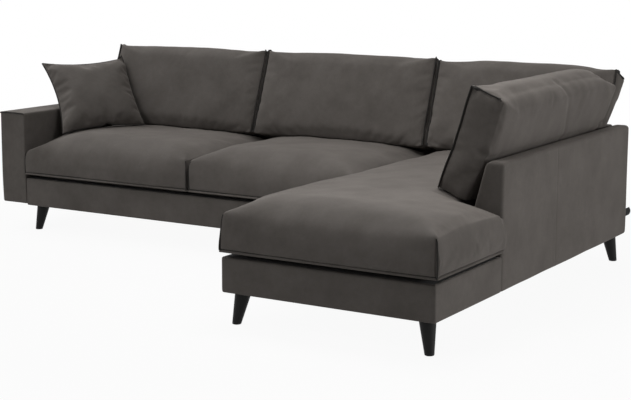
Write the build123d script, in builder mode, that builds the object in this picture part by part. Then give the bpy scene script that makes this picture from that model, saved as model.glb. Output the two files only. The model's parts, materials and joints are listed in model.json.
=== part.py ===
# Corner sofa in two modules: a main seat with an arm on its left, and a chaise with a
# padded side panel on its right. Millimetres, +Z up, +X along the sofa from the arm to
# the chaise, +Y to the back. The origin is the middle of the floor under the sofa.
from build123d import *
from math import cos, radians, sin, sqrt, tan
import os

os.makedirs("parts", exist_ok=True)

# Overall sizes
overall_width = 3100
chaise_length = 1980
main_depth = 920
chaise_width = 936
side_panel_length = 1413
arm_width = 165
arm_top = 615
arm_lift = 7
panel_top = 645
panel_top_thickness = 75
rake = 15
base_underside = 130
base_top = 274

# Base construction
cover_thickness = 12
rail_thickness = 25
dust_thickness = 1
deck_thickness = 8
strap_width = 60
strap_thickness = 2
strap_pitch = 190
cross_strap_pitch = 230
clip_length = 18
clip_thickness = 1.5
block_size = 70
block_height = 60
main_cross_rail_count = 3
module_gap = 2

# Upholstered arm and panels
pad = 15
frame_top_rail = 45
frame_post = 60
frame_bays = 3
edge_round = 18

# Legs and their fixings
leg_top_inset = 62
leg_foot_inset = 42
leg_top_diameter = 66
leg_foot_diameter = 36
leg_foot_round = 4
plate_size = 80
plate_thickness = 3
plate_screw_offset = 30
glide_diameter = 24
glide_thickness = 3
bolt_diameter = 8
bolt_head_diameter = 18
bolt_head_height = 6
bolt_grip = 40
leg_bolt_depth = 25
leg_bolt_rise = 12
screw_diameter = 4
screw_head_diameter = 8
screw_head_height = 2
screw_length = 38
hole_gap = 0.25
frame_bolt_height = 70
arm_bolt_count = 2
main_bolt_count = 4
chaise_bolt_count = 2
side_bolt_count = 4

# Module connectors
connector_count = 2
connector_width = 30
connector_reach = 26
connector_plate = 58
connector_thickness = 3
socket_wall = 4
socket_ear = 18
slot_gap = 0.3

# Seat cushions
front_overhang = 20
main_overhang = 12
chaise_side_overhang = 12
seat_left_width = 1055
seat_top = 514
seat_edge_height = 484
seat_shoulder_height = 424
seat_welt_rise = 32
seat_end_sag = 6
seat_nose = 150
seat_heel = 40
seat_draw_in = 8
belly_run = 80
chaise_roll = 90
seat_rear_gap = 4
side_gap = 3
panel_gap = 3

# Back cushions
back_left_width = 1000
back_edge_thickness = 178
back_squeezed_thickness = 110
back_crown = 8
back_taper = 28
back_height = 446
back_top_crown = 12
back_fall = 28
back_toe = 22
back_roll = 30
back_bulge = 12
back_sink = 2
side_back_setback = 23
corner_back_setback = 56
corner_gap = 4

# Throw pillow
pillow_size = 462
pillow_thickness = 128
pillow_edge = 6
pillow_end_thickness = 20
pillow_draw_in = 18
pillow_from_arm = 98
pillow_from_back = 464
pillow_above_seat = 163
pillow_turn = 55
pillow_tilt = 43
pillow_roll = 4

# Label tab at the rear corner
tag_reach = 45
tag_height = 36
tag_thickness = 2
tag_from_corner = 4
tag_lift = 82

# Soft pieces
cloth = 3
fill_gap = 0.3
rest_gap = 0.3
crown_steps = (0, 0.06, 0.16, 0.33, 0.5, 0.67, 0.84, 0.94, 1)
nose_steps = (0, 0.08, 0.25, 0.55, 1)
far = 400

# Places worked out from the sizes
left = -overall_width / 2
right = overall_width / 2
chaise_front = -(front_overhang + chaise_length + tag_reach) / 2 + front_overhang
back = chaise_front + chaise_length
main_front = back - main_depth
panel_front = back - side_panel_length
arm_inner = left + arm_width
split_x = right - chaise_width
main_right = split_x - module_gap / 2
chaise_left = split_x + module_gap / 2
slope = tan(radians(rake))


def panel_thickness(z):
    """Give the thickness of a raked panel at height z."""
    return panel_top_thickness + (panel_top - z) * slope


base_back = panel_thickness(base_top)
base_rear = back - base_back
strap_level = base_top - deck_thickness - 2 * strap_thickness
rail_bottom = base_underside + dust_thickness
plate_bottom = base_underside - plate_thickness
bolt_height = base_underside + frame_bolt_height
window_bottom = base_top
window_top = panel_top - pad - frame_top_rail
back_thickness = back_edge_thickness + back_crown
back_foot = seat_top - back_thickness * sin(radians(rake)) - back_sink
seat_rear = base_rear - seat_rear_gap


def save(piece, name):
    """Label a finished piece and write its file."""
    piece.part.label = name
    export_step(piece.part, f"parts/{name}.step")


def board(x, y, z, mode=Mode.ADD):
    """Add a block between pairs of limits along X, Y and Z."""
    middle = [(low + high) / 2 for low, high in (x, y, z)]
    with Locations(tuple(middle)):
        Box(x[1] - x[0], y[1] - y[0], z[1] - z[0], mode=mode)


def drill(sites, diameter, low, high):
    """Bore upright clearance holes at the sites, between two heights."""
    with Locations(*[(x, y, (low + high) / 2) for x, y in sites]):
        Cylinder(diameter / 2 + hole_gap, high - low, mode=Mode.SUBTRACT)


def spread(low, high, count):
    """Give the middles of equal spans between two limits."""
    return [low + (high - low) * (i + 0.5) / count for i in range(count)]


def spread_by(low, high, pitch):
    """Give evenly spaced places between two limits, about one pitch apart."""
    return spread(low, high, max(2, round((high - low) / pitch)))


# Rear panels are drawn on planes square to X, the side panel on planes square to Y.
# On both, the first axis runs in from the outer face and the second runs up.
def rear_section(x):
    return Plane(origin=(x, back, 0), x_dir=(0, -1, 0), z_dir=(-1, 0, 0))


def side_section(y):
    return Plane(origin=(right, y, 0), x_dir=(-1, 0, 0), z_dir=(0, 1, 0))


# Back cushions are drawn on planes that lean with the panels: the first axis is the
# cushion's thickness and the second runs up the panel's inner face.
def rear_lean(x):
    lean = radians(rake)
    foot = (x, back - panel_thickness(back_foot), back_foot)
    return Plane(origin=foot, x_dir=(0, -cos(lean), sin(lean)), z_dir=(-1, 0, 0))


def side_lean(y):
    lean = radians(rake)
    foot = (right - panel_thickness(back_foot), y, back_foot)
    return Plane(origin=foot, x_dir=(-cos(lean), 0, sin(lean)), z_dir=(0, 1, 0))


# Where legs, bolts and screws go: the corner each leg stands at, and the way out of it
leg_corners = {
    "leg_main_front_left": (arm_inner, main_front, -1, -1),
    "leg_main_front_right": (main_right, main_front, 1, -1),
    "leg_main_rear_left": (arm_inner, back, -1, 1),
    "leg_main_rear_right": (main_right, back, 1, 1),
    "leg_chaise_front_left": (chaise_left, chaise_front, -1, -1),
    "leg_chaise_front_right": (right, chaise_front, 1, -1),
    "leg_chaise_rear_left": (chaise_left, back, -1, 1),
    "leg_chaise_rear_right": (right, back, 1, 1),
}
leg_tops = [(x - sx * leg_top_inset, y - sy * leg_top_inset) for x, y, sx, sy in leg_corners.values()]
screw_signs = ((-1, -1), (-1, 1), (1, -1), (1, 1))
plate_screws = [
    (x + i * plate_screw_offset, y + j * plate_screw_offset) for x, y in leg_tops for i, j in screw_signs
]
screw_top = plate_bottom + screw_length
bolt_top = base_underside + leg_bolt_rise

connector_ys = spread(main_front, base_rear, connector_count)
connector_half = connector_width / 2 + slot_gap + socket_ear
rail_middle = cover_thickness + rail_thickness / 2
ear_middle = connector_half - socket_ear / 2
hook_screws = [(main_right - rail_middle, y + s * ear_middle) for y in connector_ys for s in (-1, 1)]
socket_screws = [(chaise_left + rail_middle, y + s * ear_middle) for y in connector_ys for s in (-1, 1)]
connector_screw_top = base_underside - connector_thickness + screw_length

arm_bolt_ys = spread(main_front, base_rear, arm_bolt_count)
main_bolt_xs = spread(arm_inner, main_right, main_bolt_count)
chaise_bolt_xs = spread(chaise_left, right - base_back, chaise_bolt_count)
side_bolt_ys = spread(panel_front, base_rear, side_bolt_count)


def drill_fixings():
    """Bore the holes for the leg bolts, the plate screws and the connector screws."""
    drill(leg_tops, bolt_diameter, base_underside, bolt_top)
    drill(plate_screws, screw_diameter, base_underside, screw_top)
    drill(hook_screws + socket_screws, screw_diameter, base_underside, connector_screw_top)


# Frame bolts run from inside the base, through rail, cover and pad, into a panel's frame.
# Each is placed by the plane of the rail's inner face, facing the way the bolt runs.
bolt_reach = rail_thickness + cover_thickness + pad + bolt_grip
wall_to_rail = cover_thickness + rail_thickness
arm_bolt_planes = [
    Plane(origin=(arm_inner + wall_to_rail, y, bolt_height), z_dir=(-1, 0, 0)) for y in arm_bolt_ys
]
main_bolt_planes = [
    Plane(origin=(x, base_rear - wall_to_rail, bolt_height), z_dir=(0, 1, 0)) for x in main_bolt_xs
]
chaise_bolt_planes = [
    Plane(origin=(x, base_rear - wall_to_rail, bolt_height), z_dir=(0, 1, 0)) for x in chaise_bolt_xs
]
side_bolt_planes = [
    Plane(origin=(right - base_back - wall_to_rail, y, bolt_height), z_dir=(1, 0, 0)) for y in side_bolt_ys
]
frame_bolt_planes = main_bolt_planes + chaise_bolt_planes + side_bolt_planes


def bore_frame_bolts():
    """Bore the clearance holes of every frame bolt."""
    with Locations(*arm_bolt_planes, *frame_bolt_planes):
        Cylinder(
            bolt_diameter / 2 + hole_gap,
            bolt_reach,
            align=(Align.CENTER, Align.CENTER, Align.MIN),
            mode=Mode.SUBTRACT,
        )


def make_bolts(planes, name):
    """Make the frame bolts that stand on the given planes."""
    with BuildPart() as bolts:
        with Locations(*planes):
            Cylinder(bolt_diameter / 2, bolt_reach, align=(Align.CENTER, Align.CENTER, Align.MIN))
            Cylinder(bolt_head_diameter / 2, bolt_head_height, align=(Align.CENTER, Align.CENTER, Align.MAX))
    save(bolts, name)


# The two bases. An outline is the plan of a base's fabric, anticlockwise from its front left.
main_outline = [
    (arm_inner, main_front),
    (main_right, main_front),
    (main_right, base_rear),
    (arm_inner, base_rear),
]
chaise_outline = [
    (chaise_left, chaise_front),
    (right, chaise_front),
    (right, panel_front),
    (right - base_back, panel_front),
    (right - base_back, base_rear),
    (chaise_left, base_rear),
]


def outline_face(points, inset, z):
    """Sketch a base's plan at height z, drawn in by an inset."""
    with BuildSketch(Plane.XY.offset(z)) as plan:
        with BuildLine():
            Polyline(*points, close=True)
        make_face()
        if inset:
            offset(amount=-inset, kind=Kind.INTERSECTION)
    return plan.sketch


def make_base_cloth(points, name):
    """Make the padded band round a base, the deck on top of it and the dust cover under it."""
    with BuildPart() as band:
        extrude(outline_face(points, 0, base_underside), amount=base_top - base_underside)
        inner = outline_face(points, cover_thickness, base_underside)
        extrude(inner, amount=base_top - base_underside, mode=Mode.SUBTRACT)
        bore_frame_bolts()
    save(band, f"{name}_base_cover")
    with BuildPart() as deck:
        extrude(outline_face(points, cover_thickness, base_top - deck_thickness), amount=deck_thickness)
    save(deck, f"{name}_seat_deck")
    with BuildPart() as dust:
        extrude(outline_face(points, cover_thickness, base_underside), amount=dust_thickness)
        drill_fixings()
    save(dust, f"{name}_dust_cover")


make_base_cloth(main_outline, "main")
make_base_cloth(chaise_outline, "chaise")

rail_z = (rail_bottom, strap_level)

# Main base: limits of the space inside its cover, then inside its rails
main_x = (arm_inner + cover_thickness, main_right - cover_thickness)
main_y = (main_front + cover_thickness, base_rear - cover_thickness)
main_inner_x = (main_x[0] + rail_thickness, main_x[1] - rail_thickness)
main_inner_y = (main_y[0] + rail_thickness, main_y[1] - rail_thickness)

with BuildPart() as main_front_rail:
    board(main_x, (main_y[0], main_inner_y[0]), rail_z)
    drill_fixings()
save(main_front_rail, "main_front_rail")

with BuildPart() as main_rear_rail:
    board(main_x, (main_inner_y[1], main_y[1]), rail_z)
    bore_frame_bolts()
save(main_rear_rail, "main_rear_rail")

with BuildPart() as main_side_rails:
    board((main_x[0], main_inner_x[0]), main_inner_y, rail_z)
    board((main_inner_x[1], main_x[1]), main_inner_y, rail_z)
    bore_frame_bolts()
    drill_fixings()
save(main_side_rails, "main_side_rails")

with BuildPart() as main_cross_rails:
    for middle in spread(*main_inner_x, main_cross_rail_count):
        board((middle - rail_thickness / 2, middle + rail_thickness / 2), main_inner_y, rail_z)
save(main_cross_rails, "main_cross_rails")

# Chaise base: an L-shaped frame, narrower beside the side panel
chaise_x = (chaise_left + cover_thickness, right - cover_thickness)
chaise_y = (chaise_front + cover_thickness, base_rear - cover_thickness)
narrow_x = right - base_back - cover_thickness
step_y = panel_front - cover_thickness
chaise_inner_y = (chaise_y[0] + rail_thickness, chaise_y[1] - rail_thickness)
chaise_inner_left = chaise_x[0] + rail_thickness

with BuildPart() as chaise_front_rail:
    board(chaise_x, (chaise_y[0], chaise_inner_y[0]), rail_z)
    drill_fixings()
save(chaise_front_rail, "chaise_front_rail")

with BuildPart() as chaise_rear_rail:
    board((chaise_x[0], narrow_x), (chaise_inner_y[1], chaise_y[1]), rail_z)
    bore_frame_bolts()
save(chaise_rear_rail, "chaise_rear_rail")

with BuildPart() as chaise_side_rails:
    board((chaise_x[0], chaise_inner_left), chaise_inner_y, rail_z)
    board((chaise_x[1] - rail_thickness, chaise_x[1]), (chaise_inner_y[0], step_y - rail_thickness), rail_z)
    board((narrow_x - rail_thickness, narrow_x), (step_y, chaise_inner_y[1]), rail_z)
    bore_frame_bolts()
    drill_fixings()
save(chaise_side_rails, "chaise_side_rails")

with BuildPart() as chaise_cross_rails:
    front_middle = (chaise_inner_y[0] + step_y - rail_thickness) / 2
    rear_middle = (step_y + chaise_inner_y[1]) / 2
    half_rail = rail_thickness / 2
    board(
        (chaise_inner_left, chaise_x[1] - rail_thickness),
        (front_middle - half_rail, front_middle + half_rail),
        rail_z,
    )
    board((chaise_inner_left, chaise_x[1]), (step_y - rail_thickness, step_y), rail_z)
    board(
        (chaise_inner_left, narrow_x - rail_thickness),
        (rear_middle - half_rail, rear_middle + half_rail),
        rail_z,
    )
save(chaise_cross_rails, "chaise_cross_rails")

# Elastic webbing in two layers on top of the rails, with a steel clip on each lower strap end
lower_strap = (strap_level, strap_level + strap_thickness)
upper_strap = (lower_strap[1], lower_strap[1] + strap_thickness)
clip_z = (lower_strap[1], lower_strap[1] + clip_thickness)
half_strap = strap_width / 2
main_strap_xs = spread_by(*main_inner_x, strap_pitch)
front_strap_ys = spread_by(chaise_inner_y[0], step_y - rail_thickness, strap_pitch)
rear_strap_ys = spread_by(step_y, chaise_inner_y[1], strap_pitch)

with BuildPart() as main_webbing:
    for x in main_strap_xs:
        board((x - half_strap, x + half_strap), main_y, lower_strap)
    for y in spread_by(*main_inner_y, cross_strap_pitch):
        board(main_x, (y - half_strap, y + half_strap), upper_strap)
save(main_webbing, "main_webbing")

with BuildPart() as chaise_webbing:
    for y in front_strap_ys:
        board(chaise_x, (y - half_strap, y + half_strap), lower_strap)
    for y in rear_strap_ys:
        board((chaise_x[0], narrow_x), (y - half_strap, y + half_strap), lower_strap)
    for x in spread_by(chaise_inner_left, narrow_x - rail_thickness, cross_strap_pitch):
        board((x - half_strap, x + half_strap), chaise_y, upper_strap)
save(chaise_webbing, "chaise_webbing")

with BuildPart() as webbing_clips:
    for x in main_strap_xs:
        board((x - half_strap, x + half_strap), (main_y[0], main_y[0] + clip_length), clip_z)
        board((x - half_strap, x + half_strap), (main_y[1] - clip_length, main_y[1]), clip_z)
    for y in front_strap_ys + rear_strap_ys:
        strap_end = chaise_x[1] if y in front_strap_ys else narrow_x
        board((chaise_x[0], chaise_x[0] + clip_length), (y - half_strap, y + half_strap), clip_z)
        board((strap_end - clip_length, strap_end), (y - half_strap, y + half_strap), clip_z)
save(webbing_clips, "webbing_clips")

# Wooden blocks that carry the front legs, glued into the corners of the rails
block_z = (rail_bottom, rail_bottom + block_height)
with BuildPart() as corner_blocks:
    for corner_x, corner_y, sx, sy in leg_corners.values():
        if sy < 0:
            xs = sorted((corner_x - sx * wall_to_rail, corner_x - sx * (wall_to_rail + block_size)))
            ys = sorted((corner_y - sy * wall_to_rail, corner_y - sy * (wall_to_rail + block_size)))
            board(xs, ys, block_z)
    drill_fixings()
save(corner_blocks, "corner_blocks")


# Upholstered panels: a padded cover round a ladder frame, raked on the inner face
def panel_face(plane, inset):
    """Sketch a panel's section, drawn in by an inset."""
    points = [
        (0, base_underside),
        (base_back, base_underside),
        (base_back, base_top),
        (panel_top_thickness, panel_top),
        (0, panel_top),
    ]
    with BuildSketch(plane) as section:
        with BuildLine():
            Polyline(*points, close=True)
        make_face()
        if inset:
            offset(amount=-inset, kind=Kind.INTERSECTION)
    return section.sketch


def make_panel(plane, length, name, closes_corner):
    """Make a panel's cover and frame from the plane at one end, along the plane's normal."""
    with BuildPart() as cover:
        extrude(panel_face(plane, 0), amount=length)
        top_edges = cover.edges().group_by(Axis.Z)[-1]
        fillet(top_edges, radius=min(edge_round, panel_top_thickness / 4))
        extrude(panel_face(plane.offset(pad), pad), amount=length - 2 * pad, mode=Mode.SUBTRACT)
        if closes_corner:
            add(corner_wedge())
        bore_frame_bolts()
        drill_fixings()
    save(cover, f"{name}_cover")
    with BuildPart() as frame:
        extrude(panel_face(plane.offset(pad), pad), amount=length - 2 * pad)
        bay = (length - 2 * pad - frame_post) / frame_bays
        for i in range(frame_bays):
            along = pad + frame_post / 2 + bay * (i + 0.5)
            with Locations(plane.location * Location((0, (window_bottom + window_top) / 2, along))):
                Box(far, window_top - window_bottom, bay - frame_post, mode=Mode.SUBTRACT)
        bore_frame_bolts()
        drill_fixings()
    save(frame, f"{name}_frame")


def corner_wedge():
    """Make the padding that closes the corner between the two raked panels."""
    with BuildPart() as wedge:
        extrude(panel_face(rear_section(right), 0), amount=base_back)
        extrude(panel_face(side_section(panel_front), 0), amount=side_panel_length, mode=Mode.SUBTRACT)
    return wedge.part


make_panel(rear_section(main_right), main_right - arm_inner, "main_back", False)
make_panel(side_section(panel_front), side_panel_length, "side_panel", False)
make_panel(rear_section(right - base_back), right - base_back - chaise_left, "chaise_back", True)

# Arm: a padded box round its own frame
arm_x = (left, arm_inner)
arm_y = (main_front, back)
arm_z = (base_underside + arm_lift, arm_top)


def drawn_in(limits, inset):
    """Give limits brought together by an inset at each end."""
    return (limits[0] + inset, limits[1] - inset)


with BuildPart() as arm_cover:
    board(arm_x, arm_y, arm_z)
    fillet(arm_cover.edges().group_by(Axis.Z)[-1], radius=min(edge_round, arm_width / 4))
    board(drawn_in(arm_x, pad), drawn_in(arm_y, pad), drawn_in(arm_z, pad), mode=Mode.SUBTRACT)
    bore_frame_bolts()
save(arm_cover, "arm_cover")

with BuildPart() as arm_frame:
    board(drawn_in(arm_x, pad), drawn_in(arm_y, pad), drawn_in(arm_z, pad))
    arm_bay = (main_depth - 2 * pad - frame_post) / frame_bays
    arm_window = (window_bottom, arm_top - pad - frame_top_rail)
    for i in range(frame_bays):
        start = main_front + pad + frame_post + arm_bay * i
        board(arm_x, (start, start + arm_bay - frame_post), arm_window, mode=Mode.SUBTRACT)
    bore_frame_bolts()
save(arm_frame, "arm_frame")

make_bolts(arm_bolt_planes, "arm_bolts")
make_bolts(frame_bolt_planes, "panel_bolts")

# Legs: tapered, splayed out at the foot, each on a steel plate with a hanger bolt
for (leg_name, corner), (top_x, top_y) in zip(leg_corners.items(), leg_tops):
    corner_x, corner_y, sx, sy = corner
    foot_x = corner_x - sx * leg_foot_inset
    foot_y = corner_y - sy * leg_foot_inset
    with BuildPart() as leg:
        with BuildSketch(Plane.XY):
            with Locations((foot_x, foot_y)):
                Circle(leg_foot_diameter / 2)
        with BuildSketch(Plane.XY.offset(plate_bottom)):
            with Locations((top_x, top_y)):
                Circle(leg_top_diameter / 2)
        loft()
        fillet(leg.faces().sort_by(Axis.Z)[0].edges(), radius=leg_foot_round)
        drill([(top_x, top_y)], bolt_diameter, plate_bottom - leg_bolt_depth, plate_bottom)
        with Locations((foot_x, foot_y, glide_thickness / 2)):
            Cylinder(glide_diameter / 2, glide_thickness, mode=Mode.SUBTRACT)
    save(leg, leg_name)

leg_feet = [(x - sx * leg_foot_inset, y - sy * leg_foot_inset) for x, y, sx, sy in leg_corners.values()]

with BuildPart() as leg_glides:
    with Locations(*[(x, y, glide_thickness / 2) for x, y in leg_feet]):
        Cylinder(glide_diameter / 2, glide_thickness)
save(leg_glides, "leg_glides")

with BuildPart() as leg_plates:
    with Locations(*[(x, y, plate_bottom + plate_thickness / 2) for x, y in leg_tops]):
        Box(plate_size, plate_size, plate_thickness)
    drill(leg_tops, bolt_diameter, plate_bottom, base_underside)
    drill(plate_screws, screw_diameter, plate_bottom, base_underside)
save(leg_plates, "leg_plates")

with BuildPart() as leg_bolts:
    bolt_span = (plate_bottom - leg_bolt_depth, bolt_top)
    with Locations(*[(x, y, sum(bolt_span) / 2) for x, y in leg_tops]):
        Cylinder(bolt_diameter / 2, bolt_span[1] - bolt_span[0])
save(leg_bolts, "leg_bolts")


def make_screws(sites, seat_z, name):
    """Make wood screws that run up from a plate's underside."""
    head_radius = screw_head_diameter / 2
    with BuildPart() as screws:
        with Locations(*[(x, y, seat_z) for x, y in sites]):
            Cylinder(screw_diameter / 2, screw_length, align=(Align.CENTER, Align.CENTER, Align.MIN))
            Cylinder(head_radius, screw_head_height, align=(Align.CENTER, Align.CENTER, Align.MAX))
    save(screws, name)


make_screws(plate_screws, plate_bottom, "leg_plate_screws")
make_screws(hook_screws + socket_screws, base_underside - connector_thickness, "connector_screws")

# Module connectors under the rails: a tongue on the main base slides into a socket on the chaise
ear_z = (base_underside - connector_thickness, base_underside)
tongue_z = (ear_z[0] - connector_thickness - slot_gap, ear_z[0] - slot_gap)
half_tongue = connector_width / 2
hook_x = (main_right - connector_plate, main_right)

with BuildPart() as connector_hooks:
    for y in connector_ys:
        tongue_y = (y - half_tongue, y + half_tongue)
        board(hook_x, (y - connector_half, y + connector_half), ear_z)
        board(hook_x, tongue_y, (tongue_z[0], ear_z[0]))
        board((main_right, chaise_left + connector_reach), tongue_y, tongue_z)
    drill(hook_screws, screw_diameter, ear_z[0], ear_z[1])
save(connector_hooks, "connector_hooks")

socket_z = (tongue_z[0] - slot_gap - socket_wall, base_underside)
slot_half = half_tongue + slot_gap
with BuildPart() as connector_sockets:
    for y in connector_ys:
        board((chaise_left, chaise_left + connector_plate), (y - connector_half, y + connector_half), ear_z)
        board(
            (chaise_left, chaise_left + connector_reach),
            (y - slot_half - socket_wall, y + slot_half + socket_wall),
            (socket_z[0], ear_z[0]),
        )
        board(
            (chaise_left, chaise_left + connector_reach),
            (y - slot_half, y + slot_half),
            (tongue_z[0] - slot_gap, ear_z[0]),
            mode=Mode.SUBTRACT,
        )
    drill(socket_screws, screw_diameter, ear_z[0], ear_z[1])
save(connector_sockets, "connector_sockets")

with BuildPart() as label_tag:
    tag_x = right - tag_from_corner
    tag_low = base_underside + tag_lift
    board((tag_x, tag_x + tag_thickness), (back, back + tag_reach), (tag_low, tag_low + tag_height))
save(label_tag, "label_tag")


# Soft pieces. Each body is drawn once by a function and used at three insets: nothing for
# the cover's outside, the cloth's thickness for its inside, and a little more for the filling.
def crown_at(share):
    """Give how full a cushion is at a share of its length: none at its ends, one in the middle."""
    return 1 - abs(2 * share - 1) ** 3


def between(low, high, share):
    """Give the place at a share of the way from one limit to another."""
    return low + (high - low) * share


def save_cushion(body, name):
    """Save a cushion's cover, a closed skin, and the filling inside it."""
    outside = body(0)
    inside = body(cloth)
    with BuildPart() as cover:
        add(outside)
        add(inside, mode=Mode.SUBTRACT)
    save(cover, f"{name}_cover")
    with BuildPart() as filling:
        add(body(cloth + fill_gap))
    save(filling, f"{name}_filling")


def lean_block(plane, depth, inset):
    """Sketch the space of a back cushion up its panel, with its foot lowered by an inset."""
    with BuildSketch(plane) as space:
        with BuildLine():
            Polyline((-far, -inset), (depth, -inset), (depth, 2 * far), (-far, 2 * far), close=True)
        make_face()
    return space.sketch


def seat_height(crown):
    """Give the height of a seat's flat top where it is so full."""
    return between(seat_edge_height, seat_top, crown)


def seat_section(x, crown, inset):
    """Sketch one upright slice of a main seat cushion, square to X."""
    nose_y = main_front - main_overhang + seat_draw_in * crown + inset
    heel_y = seat_rear - inset
    welt = base_top + seat_welt_rise + inset
    belly = between(welt - seat_end_sag, base_top + rest_gap + inset, crown)
    top = seat_height(crown) - inset
    shoulder = seat_shoulder_height
    bend = 1 - sqrt(0.5)
    nose_bend = (nose_y + seat_nose * bend, top - (top - shoulder) * bend)
    with BuildSketch(Plane.YZ.offset(x)) as section:
        with BuildLine():
            Line((nose_y, welt), (nose_y, shoulder))
            ThreePointArc((nose_y, shoulder), nose_bend, (nose_y + seat_nose, top))
            Polyline(
                (nose_y + seat_nose, top),
                (heel_y - seat_heel, top),
                (heel_y, top - seat_heel),
                (heel_y, welt),
                (heel_y - belly_run, belly),
                (nose_y + belly_run, belly),
                (nose_y, welt),
            )
        make_face()
    return section.sketch


def main_seat_body(x_low, x_high, inset):
    """Make a main seat cushion between two limits, with the ledge that its back cushion sits on."""
    with BuildPart() as seat:
        places = [between(x_low + inset, x_high - inset, share) for share in crown_steps]
        sections = [seat_section(x, crown_at(share), inset) for x, share in zip(places, crown_steps)]
        loft(sections, ruled=True)
        ledge = lean_block(rear_lean(x_high), back_thickness + corner_gap + inset, inset)
        extrude(ledge, amount=x_high - x_low, mode=Mode.SUBTRACT)
    return seat.part


seat_split = arm_inner + seat_left_width
seat_left_x = (arm_inner + side_gap, seat_split - side_gap / 2)
seat_middle_x = (seat_split + side_gap / 2, main_right)
save_cushion(lambda inset: main_seat_body(*seat_left_x, inset), "seat_left")
save_cushion(lambda inset: main_seat_body(*seat_middle_x, inset), "seat_middle")


def chaise_section(y, crown, inset):
    """Sketch one upright slice of the chaise cushion, square to Y."""
    low_x = chaise_left + side_gap + inset
    high_x = right + chaise_side_overhang - inset
    welt = base_top + seat_welt_rise + inset
    belly = between(welt - seat_end_sag, base_top + rest_gap + inset, crown)
    shoulder = seat_shoulder_height - inset
    lift = between(seat_draw_in, seat_edge_height - seat_shoulder_height, crown)
    dome = between(2 * seat_draw_in, seat_top - seat_edge_height, crown)
    edge = shoulder + lift
    bend = 1 - sqrt(0.5)
    roll_z = edge - lift * bend
    left_edge = (low_x + chaise_roll, edge)
    right_edge = (high_x - chaise_roll, edge)
    with BuildSketch(Plane.XZ.offset(-y)) as section:
        with BuildLine():
            Line((low_x, welt), (low_x, shoulder))
            ThreePointArc((low_x, shoulder), (low_x + chaise_roll * bend, roll_z), left_edge)
            ThreePointArc(left_edge, ((low_x + high_x) / 2, edge + dome), right_edge)
            ThreePointArc(right_edge, (high_x - chaise_roll * bend, roll_z), (high_x, shoulder))
            Polyline(
                (high_x, shoulder),
                (high_x, welt),
                (high_x - belly_run, belly),
                (low_x + belly_run, belly),
                (low_x, welt),
            )
        make_face()
    return section.sketch


def chaise_body(inset):
    """Make the chaise cushion: full width at the front, narrower beside the side panel."""
    front_y = chaise_front - front_overhang + inset
    join_y = panel_front - panel_gap - inset
    heel_y = seat_rear - inset
    slope_run = panel_gap + inset
    ledge_depth = back_thickness + corner_gap + inset
    with BuildSketch(Plane.XZ.offset(-join_y)) as narrow:
        add(chaise_section(join_y, 1, inset))
        with BuildLine():
            Polyline(
                (right - base_back - slope_run, base_underside),
                (right - base_back - slope_run, base_top),
                (right - panel_top_thickness - slope_run, panel_top),
                (right + far, panel_top),
                (right + far, base_underside),
                close=True,
            )
        make_face(mode=Mode.SUBTRACT)
    with BuildPart() as seat:
        nose_ys = [front_y + seat_nose * step for step in nose_steps]
        fullness = [sqrt(1 - (1 - step) ** 2) for step in nose_steps]
        sections = [chaise_section(y, crown, inset) for y, crown in zip(nose_ys, fullness)]
        loft(sections + [chaise_section(join_y, 1, inset)], ruled=True)
        extrude(narrow.sketch, amount=join_y - heel_y)
        side_ledge = lean_block(side_lean(join_y), ledge_depth, inset)
        extrude(side_ledge, amount=heel_y - join_y, mode=Mode.SUBTRACT)
        rear_ledge = lean_block(rear_lean(right), ledge_depth, inset)
        extrude(rear_ledge, amount=chaise_width, mode=Mode.SUBTRACT)
    return seat.part


save_cushion(chaise_body, "chaise_seat")


def back_section_face(plane, thickness, crown, inset):
    """Sketch one slice of a back cushion on a leaning plane."""
    low = rest_gap + inset
    face = thickness - inset
    ridge = back_height + back_top_crown * crown - inset
    heel = back_height - back_fall - inset
    toe = (face - back_bulge, low + back_toe)
    brow = (face - back_bulge - back_taper, ridge - back_roll)
    with BuildSketch(plane) as section:
        with BuildLine():
            Polyline((low, heel), (low, low), (face - back_toe, low), toe)
            ThreePointArc(toe, (face - back_taper / 2, ridge / 2), brow)
            ThreePointArc(brow, (brow[0] / 2, ridge), (low, heel))
        make_face()
    return section.sketch


def back_depth(share, end_thickness):
    """Give a back cushion's thickness at a share of its length, its far end squeezed or not."""
    return between(back_edge_thickness, end_thickness, share) + back_crown * crown_at(share)


def back_body(lean, low, high, end_thickness, inset):
    """Make a back cushion on its leaning planes, between two limits along its panel."""
    sections = []
    for share in crown_steps:
        place = between(low + inset, high - inset, share)
        thickness = back_depth(share, end_thickness)
        sections.append(back_section_face(lean(place), thickness, crown_at(share), inset))
    with BuildPart() as cushion:
        loft(sections, ruled=True)
    return cushion.part


def back_way(low, high, end_thickness, gap):
    """Make the space that a rear back cushion fills on its way up its panel, with a gap round it."""
    sections = []
    for share in crown_steps:
        place = between(low, high, share)
        with BuildSketch(rear_lean(place)) as section:
            with BuildLine():
                front = back_depth(share, end_thickness) + gap
                Polyline((-far, -far), (front, -far), (front, 2 * far), (-far, 2 * far), close=True)
            make_face()
        sections.append(section.sketch)
    with BuildPart() as way:
        loft(sections, ruled=True)
    return way.part


back_split = arm_inner + back_left_width
back_left_x = (arm_inner + side_gap, back_split - side_gap / 2)
back_middle_x = (back_split + side_gap / 2, split_x - side_gap / 2)
back_corner_x = (split_x + side_gap / 2, right - corner_back_setback)
save_cushion(lambda inset: back_body(rear_lean, *back_left_x, back_edge_thickness, inset), "back_left")
save_cushion(lambda inset: back_body(rear_lean, *back_middle_x, back_edge_thickness, inset), "back_middle")


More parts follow.
